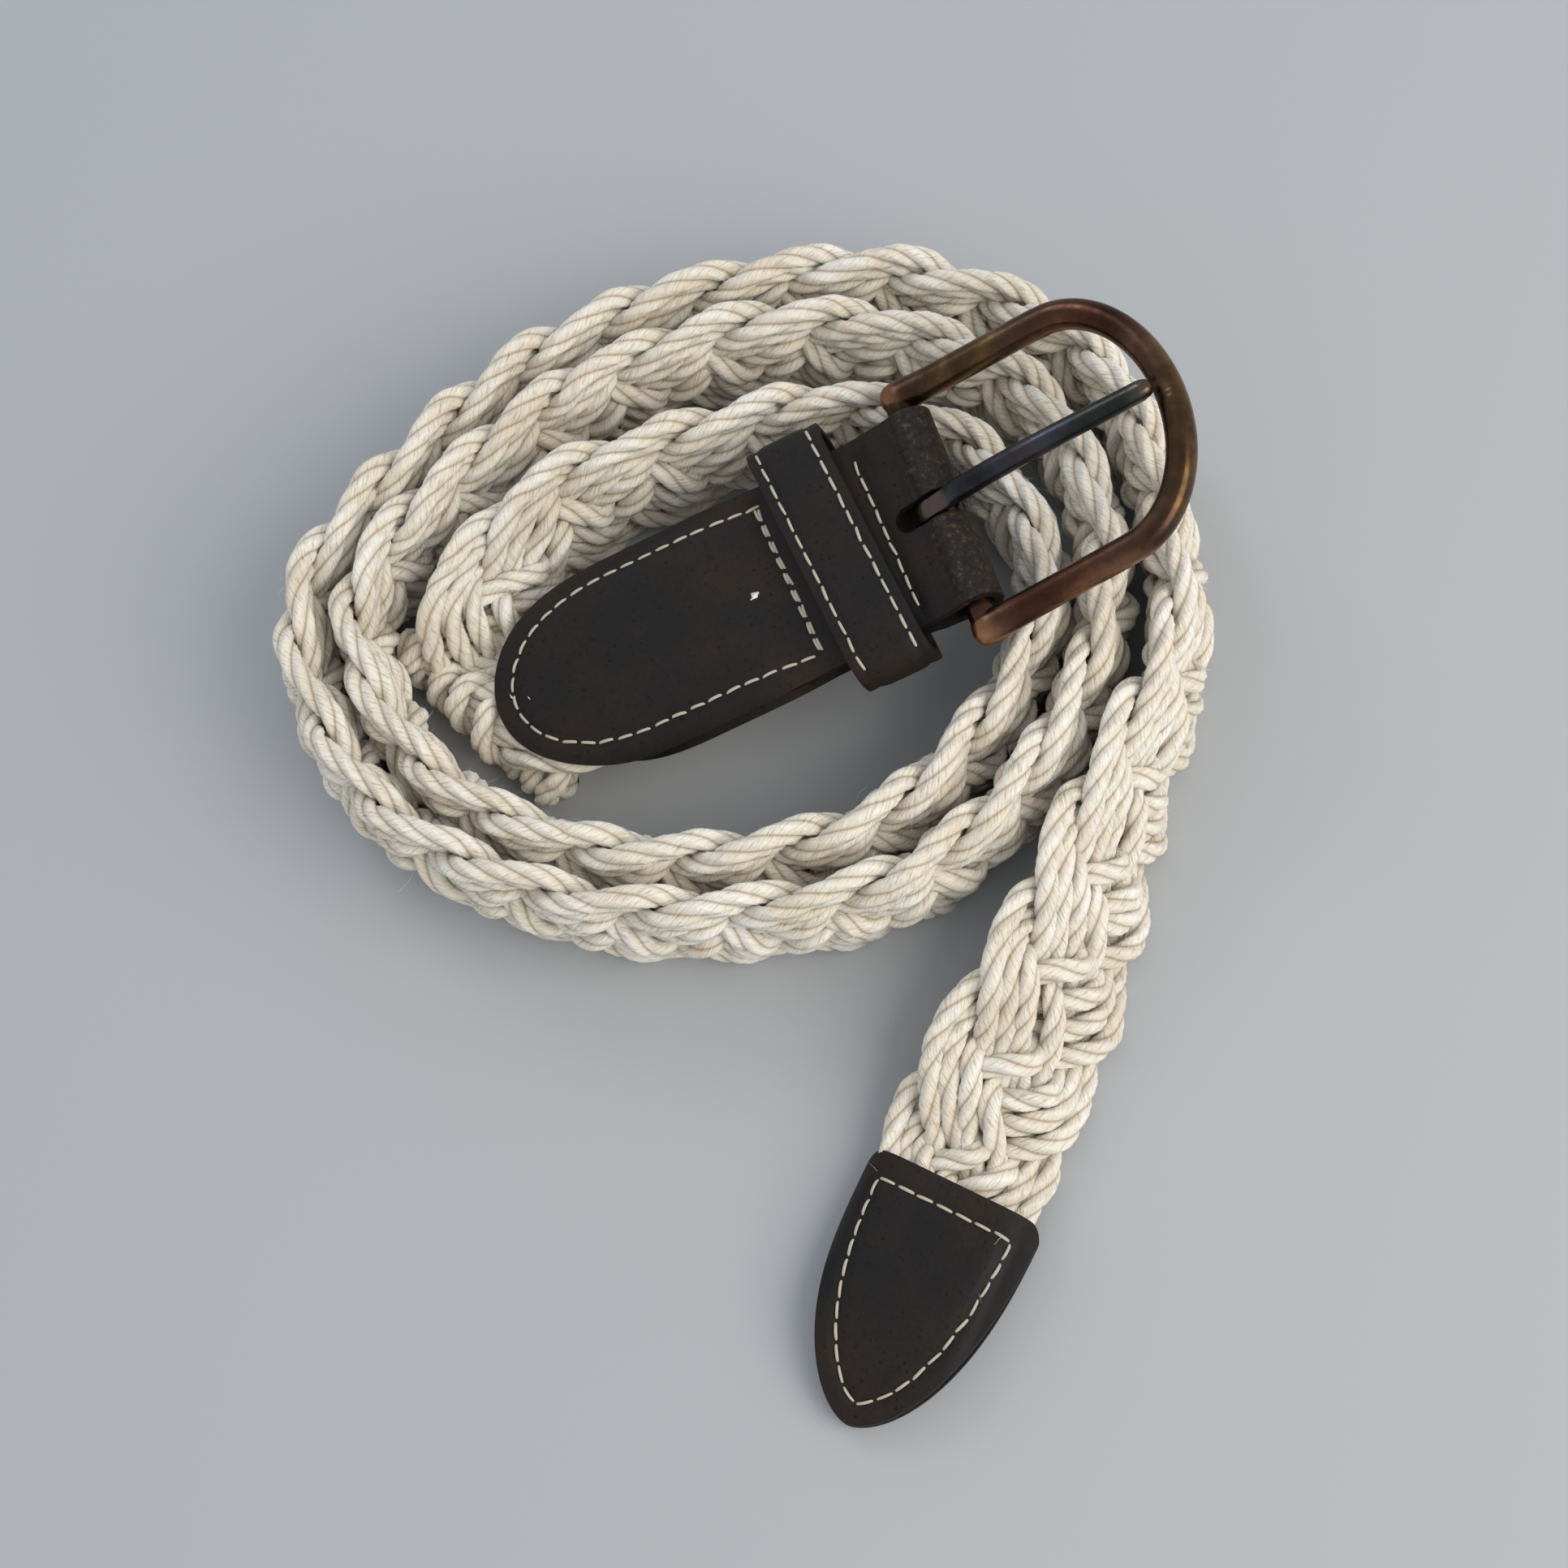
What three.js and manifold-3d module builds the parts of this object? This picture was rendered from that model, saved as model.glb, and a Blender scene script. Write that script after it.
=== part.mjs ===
// A plaited cotton belt with leather ends, lying coiled on edge.
// Units are millimetres, +Z is up and the belt rests on Z = 0.
// The plaited band leaves the leather buckle tab, folds under itself, stands on edge,
// goes round two and a half times and falls flat into the leather tip.

import * as THREE from 'three';
import { mergeVertices } from 'three/addons/utils/BufferGeometryUtils.js';
import Module from 'manifold-3d';

const wasm = await Module();
wasm.setup();

// Driving dimensions
const BAND = { width: 33, cord: 3.95, cordsPerStrand: 4, period: 58, cross: 2.15, step: 5.2, foldStep: 2.2 };
const STRAP = { width: 41, thick: 2.0, dEnd: 30, apex: 94.7, lowerApex: 87.5, pad: 3.8 };
const BAR = { x: 34, y: 40.7, z: 36.8, radius: 2.7, yaw: 18.7, tabSlope: 14.5, frameSlope: 22 };
const FRAME = { rod: 2.85, barHalf: 25.4, frontHalf: 24.6, arm: 30.7, depth: 48.4, lug: 3.0 };
const PRONG = { rod: 2.15, reach: 46.6, tipHeight: 4.5, loopThick: 2.0, loopWidth: 4.2 };
const KEEPER = { inner: 49.6, wide: 15, thick: 2.2, gap: 2.9, at: -20.5, round: 3.0 };
const TIP = { x: 33, y: -82.2, heading: 243, length: 47, halfWidth: 17.4, thick: 2.0, corner: 2.6 };
const SLOT = { halfWidth: 3.3, back: -9.6 };
const CLEAR = 0.36;

// The coil's centre, and the middle of the whole belt's outline, which is the origin
const COIL = { x: -8, y: 32 };
const ORIGIN = { x: -7.06, y: -10.76 };

// Distance from the coil's centre to the middle of the band, every 30 degrees, clockwise.
// Each column is one turn. A lean of 0 stands on edge, and a minus leans the top outward.
const TURNS = [
  { at: 180, second: 73.5, third: 84.5, lean: 0 },
  { at: 150, second: 58.5, third: 68.8, lean: 0 },
  { at: 120, second: 53.5, third: 63.8, lean: 0 },
  { at: 90, first: 34.0, second: 54.8, third: 65.2, lean: 0 },
  { at: 60, first: 43.0, second: 62.0, third: 75.0, lean: 0 },
  { at: 30, first: 54.5, second: 71.5, third: 85.5, lean: 0 },
  { at: 0, first: 61.0, second: 72.5, third: 86.0, lean: 4 },
  { at: -30, first: 57.0, second: 69.8, lean: 0 },
  { at: -60, first: 55.5, second: 67.9, lean: 0 },
  { at: -90, first: 54.3, second: 65.0, lean: 0 },
  { at: -120, first: 59.0, second: 69.6, lean: 0 },
  { at: -150, first: 68.0, second: 79.5, lean: 0 },
];

// The first steps after the fold, while the band rises from lying face down to its edge
const START = [
  { x: -57.6, y: 20.2, lean: -80, lift: 2.0 },
  { x: -56.4, y: 25.6, lean: -64, lift: 2.2 },
  { x: -53.6, y: 37.0, lean: -36, lift: 1.0 },
  { x: -43.2, y: 52.1, lean: -14, lift: 0.2 },
  { x: -24.5, y: 60.8, lean: -5, lift: 0 },
];

// The tail: the top edge falls inward until the band lies face up in the tip
const TAIL = [
  { x: 77, y: 14, lean: 11, lift: 0 },
  { x: 67.8, y: -5, lean: 18, lift: 0 },
  { x: 60.3, y: -21, lean: 26, lift: 0 },
  { x: 52.8, y: -39, lean: 36, lift: 0 },
  { x: 45.6, y: -54, lean: 49, lift: 0 },
  { x: 39.6, y: -66, lean: 68, lift: 0.4 },
  { x: 34.6, y: -77, lean: 86, lift: 1.4 },
  { x: 29.9, y: -88, lean: 90, lift: 1.9 },
  { x: 24.4, y: -99, lean: 90, lift: 1.7 },
];

// The fold under the tab's end: its crease direction, its size and where it turns over
const FOLD = {
  x: -57.2, y: 13.1, crease: -47.7, half: 3.5, top: 12.8, bottom: 5.3, from: 57, to: 72, ease: 20, leave: 8,
};

// How wide and how thick the band is along its length, as shares of its plain size
const FULLNESS = [
  { s: 0, wide: 0.94, thick: 0.4 },
  { s: 12, wide: 0.97, thick: 0.8 },
  { s: 48, wide: 1.0, thick: 0.8 },
  { s: 58, wide: 1.12, thick: 0.78 },
  { s: 69, wide: 1.26, thick: 0.76 },
  { s: 80, wide: 1.16, thick: 0.8 },
  { s: 96, wide: 1.02, thick: 0.92 },
  { s: 112, wide: 1.0, thick: 1.0 },
];
const IN_TIP = [
  { left: 0, wide: 0.84, thick: 0.4 },
  { left: 6, wide: 0.89, thick: 0.76 },
  { left: 20, wide: 0.88, thick: 0.74 },
  { left: 30, wide: 0.95, thick: 0.81 },
  { left: 45, wide: 1.0, thick: 1.0 },
];

const COTTON = new THREE.MeshStandardMaterial({ color: 0xdcd3c0, roughness: 0.95, metalness: 0 });
const LEATHER = { color: 0x2e2824, roughness: 0.62, metalness: 0 };
const METAL = { color: 0x4a3023, roughness: 0.38, metalness: 0.9 };

const rad = THREE.MathUtils.degToRad;
const UP = new THREE.Vector3(0, 0, 1);

// Reads a value off a short table by straight lines between its rows
function readTable(rows, key, column, at) {
  if (at <= rows[0][key]) return rows[0][column];
  for (let i = 1; i < rows.length; i++) {
    const low = rows[i - 1];
    const high = rows[i];
    if (at <= high[key]) {
      const share = (at - low[key]) / (high[key] - low[key]);
      return low[column] + (high[column] - low[column]) * share;
    }
  }
  return rows[rows.length - 1][column];
}

// Closed solid through rings of points, with each end closed by a fan
function sweep(rings) {
  const sides = rings[0].length;
  const points = rings.flat().concat([centre(rings[0]), centre(rings[rings.length - 1])]);
  const index = [];
  for (let i = 0; i < rings.length - 1; i++) {
    for (let j = 0; j < sides; j++) {
      const a = i * sides + j;
      const b = i * sides + (j + 1) % sides;
      index.push(a, b, b + sides, a, b + sides, a + sides);
    }
  }
  const last = (rings.length - 1) * sides;
  for (let j = 0; j < sides; j++) {
    const next = (j + 1) % sides;
    index.push(points.length - 2, next, j);
    index.push(points.length - 1, last + j, last + next);
  }
  return closed(points, index);
}

function centre(ring) {
  const sum = new THREE.Vector3();
  ring.forEach((p) => sum.add(p));
  return sum.divideScalar(ring.length);
}

// Geometry from points and triangles, turned so that its faces point out
function closed(points, index) {
  let volume = 0;
  for (let i = 0; i < index.length; i += 3) {
    const [a, b, c] = [points[index[i]], points[index[i + 1]], points[index[i + 2]]];
    volume += a.dot(new THREE.Vector3().crossVectors(b, c));
  }
  if (volume < 0) {
    for (let i = 0; i < index.length; i += 3) {
      [index[i + 1], index[i + 2]] = [index[i + 2], index[i + 1]];
    }
  }
  const geometry = new THREE.BufferGeometry().setFromPoints(points);
  geometry.setIndex(index);
  return geometry;
}

function toSolid(geometry) {
  const bare = geometry.clone();
  bare.deleteAttribute('normal');
  bare.deleteAttribute('uv');
  const merged = mergeVertices(bare, 1e-4);
  return new wasm.Manifold(new wasm.Mesh({
    numProp: 3,
    vertProperties: new Float32Array(merged.attributes.position.array),
    triVerts: new Uint32Array(merged.index.array),
  }));
}

function fromSolid(solid) {
  const mesh = solid.getMesh();
  const geometry = new THREE.BufferGeometry();
  geometry.setAttribute('position', new THREE.BufferAttribute(new Float32Array(mesh.vertProperties), 3));
  geometry.setIndex(new THREE.BufferAttribute(new Uint32Array(mesh.triVerts), 1));
  return geometry;
}

// The belt's middle line: stations with a place and the direction that the face points to
function tabStations() {
  return [39, 50, 64, 78].map((back) => ({
    place: tabPoint(-back, 0, 0),
    face: tabPoint(0, 0, 1).sub(tabPoint(0, 0, 0)),
  }));
}

function creaseLine() {
  return new THREE.Vector3(Math.cos(rad(FOLD.crease)), Math.sin(rad(FOLD.crease)), 0);
}

function foldStations() {
  const crease = creaseLine();
  const out = new THREE.Vector3(crease.y, -crease.x, 0);
  const heading = new THREE.Vector3(-Math.cos(rad(BAR.yaw)), -Math.sin(rad(BAR.yaw)), 0);
  const drift = heading.dot(crease) / heading.dot(out);
  const tall = (FOLD.top - FOLD.bottom) / 2;
  const stations = [];
  for (let turn = 0; turn <= 180; turn += 30) {
    const along = ((turn - 90) / 90) * (Math.PI / 4) * (FOLD.half + tall) * drift;
    const place = new THREE.Vector3(FOLD.x, FOLD.y, FOLD.bottom + tall)
      .addScaledVector(crease, along)
      .addScaledVector(out, FOLD.half * Math.sin(rad(turn)))
      .addScaledVector(UP, tall * Math.cos(rad(turn)));
    const face = new THREE.Vector3()
      .addScaledVector(out, tall * Math.sin(rad(turn)))
      .addScaledVector(UP, FOLD.half * Math.cos(rad(turn)));
    stations.push({ place, face: face.normalize() });
  }
  return stations;
}

function coilStations() {
  const rows = [...START];
  for (const turn of ['first', 'second', 'third']) {
    for (const row of TURNS) {
      if (row[turn] === undefined) continue;
      const x = COIL.x + row[turn] * Math.cos(rad(row.at));
      const y = COIL.y + row[turn] * Math.sin(rad(row.at));
      rows.push({ x, y, lean: turn === 'third' ? row.lean : 0, lift: 0 });
    }
  }
  rows.push(...TAIL);
  return rows.map((row, i) => {
    const back = rows[Math.max(i - 1, 0)];
    const next = rows[Math.min(i + 1, rows.length - 1)];
    const outward = new THREE.Vector3(back.y - next.y, next.x - back.x, 0).normalize();
    const thick = 2 * BAND.cord;
    const height = ((BAND.width - thick) / 2) * Math.cos(rad(row.lean)) + thick / 2 + row.lift;
    const face = outward.multiplyScalar(Math.cos(rad(row.lean))).addScaledVector(UP, Math.sin(rad(row.lean)));
    return { place: new THREE.Vector3(row.x, row.y, height), face };
  });
}

// Frames every few millimetres along the middle line
function bandFrames() {
  const stations = [...tabStations(), ...foldStations(), ...coilStations()];
  const curve = new THREE.CatmullRomCurve3(stations.map((s) => s.place), false, 'centripetal');
  const fine = 40 * (stations.length - 1);
  const samples = [];
  let travelled = 0;
  for (let i = 0; i <= fine; i++) {
    const place = curve.getPoint(i / fine);
    if (i > 0) travelled += place.distanceTo(samples[i - 1].place);
    const spot = Math.min(i / 40, stations.length - 1.0001);
    const low = Math.floor(spot);
    const face = stations[low].face.clone().lerp(stations[low + 1].face, spot - low).normalize();
    samples.push({ place, face, s: travelled });
  }
  const frames = [];
  let k = 0;
  let s = 0;
  while (s < travelled) {
    while (samples[k + 1].s < s) k += 1;
    const share = (s - samples[k].s) / (samples[k + 1].s - samples[k].s);
    const place = samples[k].place.clone().lerp(samples[k + 1].place, share);
    const face = samples[k].face.clone().lerp(samples[k + 1].face, share).normalize();
    frames.push({ place, face, s });
    s += s > FOLD.from - 4 && s < FOLD.to + 18 ? BAND.foldStep : BAND.step;
  }
  const count = frames.length - 1;
  frames.forEach((frame, i) => {
    const back = frames[Math.max(i - 1, 0)].place;
    const next = frames[Math.min(i + 1, count)].place;
    const along = next.clone().sub(back).normalize();
    frame.face.addScaledVector(along, -frame.face.dot(along)).normalize();
    frame.side = new THREE.Vector3().crossVectors(along, frame.face);
    // Near the fold the cross-sections turn parallel to the crease, as a folded ribbon's do
    const turned = THREE.MathUtils.smoothstep(frame.s, FOLD.from - FOLD.ease, FOLD.from)
      * (1 - THREE.MathUtils.smoothstep(frame.s, FOLD.to, FOLD.to + FOLD.leave));
    const slant = creaseLine().dot(along) / creaseLine().dot(frame.side);
    if (turned > 0) frame.side.addScaledVector(along, slant * turned);
  });
  return { frames, length: travelled };
}

// A three-strand flat plait as a height field: how far its surface stands from the middle
function plaitHeight(s, across, sign) {
  const half = (BAND.cordsPerStrand * BAND.cord) / 2;
  const swing = BAND.width / 2 - half;
  let height = -BAND.cord / 2;
  for (let strand = 0; strand < 3; strand++) {
    const phase = 2 * Math.PI * (s / BAND.period + strand / 3);
    const off = Math.abs(across - swing * Math.sin(phase));
    const fall = Math.max(0, off - half + 1.2) * 1.1;
    height = Math.max(height, -sign * BAND.cross * Math.sin(2 * phase) - fall);
  }
  return height + BAND.cord / 2;
}

function plaitEdge(s, sign) {
  const half = (BAND.cordsPerStrand * BAND.cord) / 2;
  const swing = BAND.width / 2 - half;
  let edge = 0;
  for (let strand = 0; strand < 3; strand++) {
    edge = Math.max(edge, sign * swing * Math.sin(2 * Math.PI * (s / BAND.period + strand / 3)) + half);
  }
  return edge;
}

function plaitedBand() {
  const { frames, length } = bandFrames();
  const lanes = [-0.92, -0.7, -0.36, 0, 0.36, 0.7, 0.92];
  const rings = frames.map((frame) => {
    const left = length - frame.s;
    const wide = frame.s < 200 ? readTable(FULLNESS, 's', 'wide', frame.s)
      : readTable(IN_TIP, 'left', 'wide', left);
    const thick = frame.s < 200 ? readTable(FULLNESS, 's', 'thick', frame.s)
      : readTable(IN_TIP, 'left', 'thick', left);
    const low = plaitEdge(frame.s, -1);
    const high = plaitEdge(frame.s, 1);
    const spot = (across, out) => frame.place.clone()
      .addScaledVector(frame.side, across * wide)
      .addScaledVector(frame.face, out * thick);
    const rows = lanes.map((lane) => {
      const across = lane < 0 ? lane * low : lane * high;
      const rounded = Math.abs(lane) > 0.9 ? 0.62 : 1;
      return { across, rounded };
    });
    const top = rows.map((row) => spot(row.across, row.rounded * plaitHeight(frame.s, row.across, 1)));
    const under = rows.map((row) => spot(row.across, -row.rounded * plaitHeight(frame.s, row.across, -1)));
    return [spot(-low, 0), ...top, spot(high, 0), ...under.reverse()];
  });
  return sweep(rings);
}

// Places a point given along the strap, across it and off its plane, from the bar's middle
function tilted(along, across, off, slope) {
  const level = along * Math.cos(rad(slope)) - off * Math.sin(rad(slope));
  return new THREE.Vector3(
    BAR.x + level * Math.cos(rad(BAR.yaw)) - across * Math.sin(rad(BAR.yaw)),
    BAR.y + level * Math.sin(rad(BAR.yaw)) + across * Math.cos(rad(BAR.yaw)),
    BAR.z + along * Math.sin(rad(slope)) + off * Math.cos(rad(slope)),
  );
}

function tabPoint(along, across, off) {
  return tilted(along, across, off, BAR.tabSlope);
}

function framePoint(along, across, off) {
  return tilted(along, across, off, BAR.frameSlope);
}

// Half the strap's width where it is this far from its rounded end
function dEndHalf(fromApex) {
  const share = Math.min(fromApex / STRAP.dEnd, 1);
  return (STRAP.width / 2) * Math.sqrt(Math.max(1 - (1 - share) ** 2.2, 0.012));
}

// Side view of the strap's middle layer, from the upper end round the bar to the lower end
function strapProfile() {
  const wrap = BAR.radius + CLEAR + STRAP.thick / 2;
  const closedUp = STRAP.thick / 2 + 0.2;
  const flap = [
    { back: 1, off: closedUp + STRAP.pad * 0.86 },
    { back: 0.93, off: closedUp + STRAP.pad * 0.97 },
    { back: 0.82, off: closedUp + STRAP.pad },
    { back: 0.66, off: closedUp + STRAP.pad },
    { back: 0.52, off: closedUp + STRAP.pad * 0.93 },
    { back: 0.44, off: closedUp + STRAP.pad * 0.72 },
    { back: 0.38, off: closedUp + STRAP.pad * 0.3 },
    { back: 0.34, off: closedUp + STRAP.pad * 0.04 },
    { back: 0.24, off: closedUp },
    { back: 0.14, off: closedUp },
    { back: 0.09, off: closedUp + 0.6 },
  ];
  const upper = flap.map((row) => ({ along: -row.back * STRAP.apex, off: row.off, end: (1 - row.back) * STRAP.apex }));
  const round = [];
  for (let turn = 118; turn >= -118; turn -= 23.6) {
    round.push({ along: wrap * Math.cos(rad(turn)), off: wrap * Math.sin(rad(turn)), end: STRAP.apex });
  }
  const lower = flap.map((row) => {
    const back = row.back * STRAP.lowerApex;
    return { along: -back, off: -row.off, end: STRAP.lowerApex - back };
  });
  // Narrow rows near each rounded end, so that the outline stays round
  const ends = [0.02, 0.08, 0.17, 0.3, 0.48, 0.72].map((share) => share * STRAP.dEnd);
  const addEnd = (rows, sign, apex) => ends.map((end) => {
    const along = -(apex - end);
    const sorted = [...rows].sort((p, q) => p.along - q.along);
    return { along, off: readTable(sorted, 'along', 'off', along), end };
  }).concat(rows.filter((row) => row.end > STRAP.dEnd * 0.8));
  const top = addEnd(upper, 1, STRAP.apex).sort((p, q) => p.along - q.along);
  const low = addEnd(lower, -1, STRAP.lowerApex).sort((p, q) => q.along - p.along);
  return [...top, ...round, ...low];
}

function buckleTab() {
  const rows = strapProfile();
  const lanes = [-1, -0.8, -0.55, -0.25, 0, 0.25, 0.55, 0.8, 1];
  const rings = rows.map((row, i) => {
    const back = rows[Math.max(i - 1, 0)];
    const next = rows[Math.min(i + 1, rows.length - 1)];
    const run = new THREE.Vector2(next.along - back.along, next.off - back.off).normalize();
    const normal = new THREE.Vector2(-run.y, run.x);
    const half = dEndHalf(row.end);
    const padded = row.along < -0.3 * STRAP.apex;
    const side = (sign) => lanes.map((lane) => {
      const across = lane * half;
      const shut = Math.sign(row.off) * (STRAP.thick / 2 + 0.2);
      const sag = 1 - 0.92 * Math.abs((2 * across) / STRAP.width) ** 6;
      const middle = padded ? shut + (row.off - shut) * sag : row.off;
      const off = middle + normal.y * sign * (STRAP.thick / 2);
      return tabPoint(row.along + normal.x * sign * (STRAP.thick / 2), across, off);
    });
    return [...side(1), ...side(-1).reverse()];
  });
  const strap = toSolid(sweep(rings));
  const slot = new THREE.Shape();
  slot.moveTo(8, -SLOT.halfWidth);
  slot.lineTo(8, SLOT.halfWidth);
  slot.lineTo(SLOT.back + SLOT.halfWidth, SLOT.halfWidth);
  slot.absarc(SLOT.back + SLOT.halfWidth, 0, SLOT.halfWidth, Math.PI / 2, Math.PI * 1.5, false);
  const cutter = new THREE.ExtrudeGeometry(slot, { depth: 20, bevelEnabled: false, curveSegments: 5 });
  cutter.translate(0, 0, -10);
  return fromSolid(strap.subtract(toSolid(placed(cutter, tabPoint))));
}

// Moves a geometry made along, across and off a plane to its place
function placed(geometry, place) {
  const position = geometry.attributes.position;
  for (let i = 0; i < position.count; i++) {
    const p = place(position.getX(i), position.getY(i), position.getZ(i));
    position.setXYZ(i, p.x, p.y, p.z);
  }
  return geometry;
}

function roundedRing(shape, halfLong, low, high, radius) {
  shape.moveTo(halfLong, low + radius);
  shape.lineTo(halfLong, high - radius);
  shape.absarc(halfLong - radius, high - radius, radius, 0, Math.PI / 2, false);
  shape.lineTo(-halfLong + radius, high);
  shape.absarc(-halfLong + radius, high - radius, radius, Math.PI / 2, Math.PI, false);
  shape.lineTo(-halfLong, low + radius);
  shape.absarc(-halfLong + radius, low + radius, radius, Math.PI, Math.PI * 1.5, false);
  shape.lineTo(halfLong - radius, low);
  shape.absarc(halfLong - radius, low + radius, radius, -Math.PI / 2, 0, false);
  return shape;
}

function keeper() {
  const under = -(STRAP.thick + 0.2 + CLEAR);
  const over = STRAP.thick + 0.2 + KEEPER.gap;
  const loop = roundedRing(new THREE.Shape(), KEEPER.inner / 2 + KEEPER.thick,
    under - KEEPER.thick, over + KEEPER.thick, KEEPER.round + KEEPER.thick);
  loop.holes.push(roundedRing(new THREE.Path(), KEEPER.inner / 2, under, over, KEEPER.round));
  const geometry = new THREE.ExtrudeGeometry(loop, {
    depth: KEEPER.wide, bevelEnabled: false, curveSegments: 4,
  });
  geometry.translate(0, 0, -KEEPER.wide / 2);
  return placed(geometry, (across, off, along) => tabPoint(KEEPER.at + along, across, off));
}

// Half the tip's width this far from its straight edge
function tipHalf(down) {
  const body = (1 - Math.min(down / TIP.length, 1) ** 2.6) ** 0.6;
  const corner = down < TIP.corner ? 1 - (1 - Math.sqrt(1 - (1 - down / TIP.corner) ** 2)) * 0.14 : 1;
  return Math.max(TIP.halfWidth * body * corner, 0.5);
}

function tipLayer(low, high, dome) {
  const heading = rad(TIP.heading);
  const along = new THREE.Vector3(Math.cos(heading), Math.sin(heading), 0);
  const across = new THREE.Vector3(-along.y, along.x, 0);
  const rows = [0, 0.02, 0.05, 0.15, 0.3, 0.45, 0.6, 0.72, 0.82, 0.9, 0.955, 0.985, 1];
  const lanes = [-1, -0.8, -0.5, 0, 0.5, 0.8, 1];
  const rings = rows.map((row) => {
    const down = row * TIP.length;
    const half = tipHalf(down);
    const rise = dome * (1 - (down / TIP.length) ** 2.2);
    const spot = (lane, height) => new THREE.Vector3(TIP.x, TIP.y, height)
      .addScaledVector(along, down)
      .addScaledVector(across, lane * half);
    const lift = (lane) => rise * (1 - Math.abs((lane * half) / (TIP.halfWidth * 1.005)) ** 8);
    return [...lanes.map((lane) => spot(lane, high + lift(lane))),
      ...[...lanes].reverse().map((lane) => spot(lane, low + lift(lane)))];
  });
  return sweep(rings);
}

// Round or oval rod along a planar line given by points, with softly closed ends
function rod(points, place, normalScale = () => 1) {
  const sides = 10;
  const rings = points.map((point, i) => {
    const back = points[Math.max(i - 1, 0)];
    const next = points[Math.min(i + 1, points.length - 1)];
    const run = new THREE.Vector2(next.x - back.x, next.y - back.y).normalize();
    const ring = [];
    for (let j = 0; j < sides; j++) {
      const turn = (2 * Math.PI * j) / sides;
      const out = Math.cos(turn) * point.wide * normalScale(point);
      ring.push(place(point.x - run.y * out, point.y + run.x * out, Math.sin(turn) * point.thick));
    }
    return ring;
  });
  return sweep(rings);
}

function buckleFrame() {
  const full = { wide: FRAME.rod, thick: FRAME.rod };
  const half = [
    { x: -FRAME.lug, y: FRAME.barHalf, wide: 1.6, thick: 1.6 },
    { x: -FRAME.lug + 0.8, y: FRAME.barHalf, wide: 2.8, thick: 2.5 },
    { x: 0.4, y: FRAME.barHalf, wide: 3.2, thick: 3.1 },
    { x: 7, y: FRAME.barHalf - 0.2, ...full },
    { x: 19, y: FRAME.barHalf - 0.5, ...full },
  ];
  for (let turn = 0; turn < 90; turn += 10) {
    const x = FRAME.arm + (FRAME.depth - FRAME.arm) * Math.sin(rad(turn));
    half.push({ x, y: FRAME.frontHalf * Math.cos(rad(turn)), ...full });
  }
  const other = half.map((p) => ({ ...p, y: -p.y })).reverse();
  const line = [...half, { x: FRAME.depth, y: 0, ...full }, ...other];
  const ring = toSolid(rod(line, framePoint));
  const bar = new THREE.CylinderGeometry(BAR.radius, BAR.radius, 2 * FRAME.barHalf, 12);
  const notch = new THREE.CylinderGeometry(PRONG.rod + CLEAR, PRONG.rod + CLEAR, 14, 10);
  notch.rotateZ(Math.PI / 2);
  notch.translate(FRAME.depth, 0, PRONG.tipHeight);
  const whole = ring.add(toSolid(placed(bar, framePoint)));
  return fromSolid(whole.subtract(toSolid(placed(notch, framePoint))));
}

function prong() {
  const loop = BAR.radius + CLEAR + PRONG.loopThick / 2;
  const flat = { wide: PRONG.loopThick / 2, thick: PRONG.loopWidth / 2 };
  const full = { wide: PRONG.rod, thick: PRONG.rod };
  const line = [];
  for (let turn = -40; turn >= -270; turn -= 23) {
    line.push({ x: loop * Math.cos(rad(turn)), y: loop * Math.sin(rad(turn)), ...flat });
  }
  line.push({ x: 3.2, y: loop + 0.35, wide: 1.35, thick: 2.1 });
  line.push({ x: 6.5, y: loop + 1.0, ...full });
  line.push({ x: 20, y: loop + 1.5, ...full });
  line.push({ x: 34, y: PRONG.tipHeight + 0.5, wide: 2.05, thick: 2.05 });
  line.push({ x: PRONG.reach - 2.4, y: PRONG.tipHeight, wide: 1.95, thick: 1.95 });
  line.push({ x: PRONG.reach - 0.6, y: PRONG.tipHeight, wide: 1.5, thick: 1.5 });
  line.push({ x: PRONG.reach, y: PRONG.tipHeight, wide: 0.8, thick: 0.8 });
  return rod(line, (along, off, across) => framePoint(along, across, off));
}

function piece(name, geometry, material) {
  const mesh = new THREE.Mesh(geometry, material);
  mesh.name = name;
  return mesh;
}

const belt = new THREE.Group();
belt.add(
  piece('plaited_band', plaitedBand(), COTTON),
  piece('buckle_tab', buckleTab(), new THREE.MeshStandardMaterial(LEATHER)),
  piece('keeper', keeper(), new THREE.MeshStandardMaterial({ ...LEATHER, color: 0x332b27 })),
  piece('tip_back', tipLayer(0, TIP.thick, 0), new THREE.MeshStandardMaterial(LEATHER)),
  piece('tip_front', tipLayer(TIP.thick + 0.3, 2 * TIP.thick + 0.3, 7.8), new THREE.MeshStandardMaterial(LEATHER)),
  piece('buckle_frame', buckleFrame(), new THREE.MeshStandardMaterial(METAL)),
  piece('prong', prong(), new THREE.MeshStandardMaterial({ ...METAL, color: 0x3f2c24 })),
);
belt.position.set(-ORIGIN.x, -ORIGIN.y, 0);

export default belt;
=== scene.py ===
"""The looks of a coiled, plaited cotton belt with leather ends and a dark brass buckle."""

import math
from functools import partial

import bmesh
import bpy
import numpy as np
from mathutils import Matrix, Vector


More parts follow.
